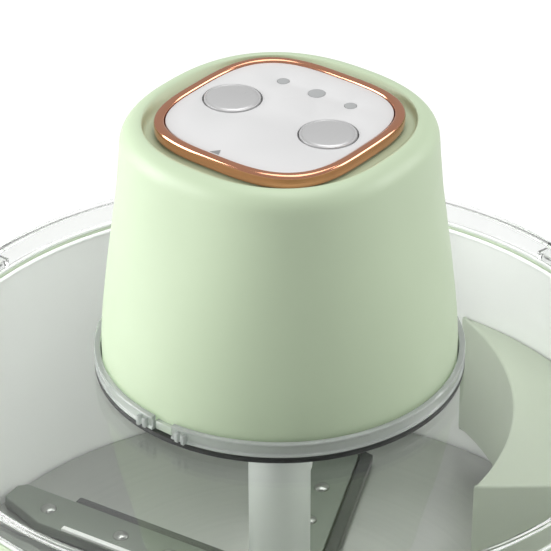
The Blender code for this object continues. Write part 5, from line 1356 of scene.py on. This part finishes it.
@dataclass
class Studio:
    """Camera, lamps, floor and white surroundings."""

    aim_height: float = 0.1970
    shift_left: float = 0.00139
    azimuth: float = -52.0
    elevation: float = 31.69
    distance: float = 1.0
    lens: float = 198.1
    ambient: float = 0.47
    lamp_height: float = 0.15
    floor_reach: float = 6.0
    floor_glow: float = 1.15
    floor_share: float = 0.80
    boxes: tuple[Softbox, ...] = (
        Softbox("left_softbox", -142.0, 16.0, 1.3, 0.8, 17.0),
        Softbox("right_softbox", 45.0, 24.0, 1.4, 0.7, 7.0),
        Softbox("top_softbox", 100.0, 78.0, 1.4, 1.0, 8.0),
    )

    def camera(self) -> None:
        """Camera at the photograph's place."""
        tilt = math.radians(self.elevation)
        side = Vector((*polar(1.0, self.azimuth - 90), 0.0))
        aim = AXIS + Vector((0.0, 0.0, self.aim_height)) + side * self.shift_left
        x, y = polar(math.cos(tilt), self.azimuth)
        data = bpy.data.cameras.new("photo_camera")
        data.lens = self.lens
        data.sensor_width = 36.0
        obj = bpy.data.objects.new("photo_camera", data)
        bpy.context.scene.collection.objects.link(obj)
        obj.location = aim + Vector((x, y, math.sin(tilt))) * self.distance
        obj.rotation_euler = (aim - obj.location).to_track_quat("-Z", "Y").to_euler()
        bpy.context.scene.camera = obj

    def white_for_view(self, tree: bpy.types.NodeTree) -> bpy.types.NodeSocket:
        """Factor that is 1 for rays that show the surroundings as they are."""
        path = tree.nodes.new("ShaderNodeLightPath")
        most = tree.nodes.new("ShaderNodeMath")
        most.operation = "MAXIMUM"
        tree.links.new(path.outputs["Is Camera Ray"], most.inputs[0])
        tree.links.new(path.outputs["Is Transmission Ray"], most.inputs[1])
        return most.outputs[0]

    def world(self) -> None:
        """White surroundings for the view, and soft light for the rest."""
        world = bpy.data.worlds.new("studio")
        bpy.context.scene.world = world
        world.use_nodes = True
        tree = world.node_tree
        light = tree.nodes["Background"]
        light.inputs["Color"].default_value = (1.0, 1.0, 1.0, 1.0)
        light.inputs["Strength"].default_value = self.ambient
        view = tree.nodes.new("ShaderNodeBackground")
        mix = tree.nodes.new("ShaderNodeMixShader")
        tree.links.new(self.white_for_view(tree), mix.inputs["Fac"])
        view.inputs["Color"].default_value = (1.0, 1.0, 1.0, 1.0)
        tree.links.new(light.outputs[0], mix.inputs[1])
        tree.links.new(view.outputs[0], mix.inputs[2])
        tree.links.new(mix.outputs[0], tree.nodes["World Output"].inputs["Surface"])

    def floor(self) -> None:
        """Pale floor that stays white to the view and keeps the shadow."""
        bm = bmesh.new()
        bmesh.ops.create_grid(bm, x_segments=1, y_segments=1, size=self.floor_reach)
        mesh = bpy.data.meshes.new("floor")
        bm.to_mesh(mesh)
        bm.free()
        material = bpy.data.materials.new("pale_floor")
        material.use_nodes = True
        tree = material.node_tree
        shader = tree.nodes["Principled BSDF"]
        shader.inputs["Base Color"].default_value = (0.80, 0.80, 0.80, 1.0)
        shader.inputs["Roughness"].default_value = 0.9
        glow, mix, share = (tree.nodes.new("ShaderNodeEmission"), tree.nodes.new("ShaderNodeMixShader"),
                            tree.nodes.new("ShaderNodeMath"))
        share.operation = "MULTIPLY"
        share.inputs[1].default_value = self.floor_share
        tree.links.new(self.white_for_view(tree), share.inputs[0])
        tree.links.new(share.outputs[0], mix.inputs["Fac"])
        glow.inputs["Strength"].default_value = self.floor_glow
        tree.links.new(shader.outputs[0], mix.inputs[1])
        tree.links.new(glow.outputs[0], mix.inputs[2])
        tree.links.new(mix.outputs[0], tree.nodes["Material Output"].inputs["Surface"])
        mesh.materials.append(material)
        obj = bpy.data.objects.new("pale_floor", mesh)
        bpy.context.scene.collection.objects.link(obj)

    def build(self) -> None:
        """Set up the whole studio."""
        bpy.context.scene.view_settings.view_transform = "Standard"
        self.camera()
        self.world()
        self.floor()
        for box in self.boxes:
            box.build(AXIS + Vector((0.0, 0.0, self.lamp_height)))


def main() -> None:
    """Build every sub-assembly in order."""
    logging.basicConfig(level=logging.INFO, format="%(message)s")
    Studio().build()
    for assembly in (MotorHead(), ControlPanel(), Collar(), ClearLid(), Tub(), GuideBlock(), Outlet(), SkinDrawer(),
                     Rotor(), DriveTrain()):
        LOG.info("building %s", type(assembly).__name__)
        assembly.build()


if __name__ == "__main__":
    main()
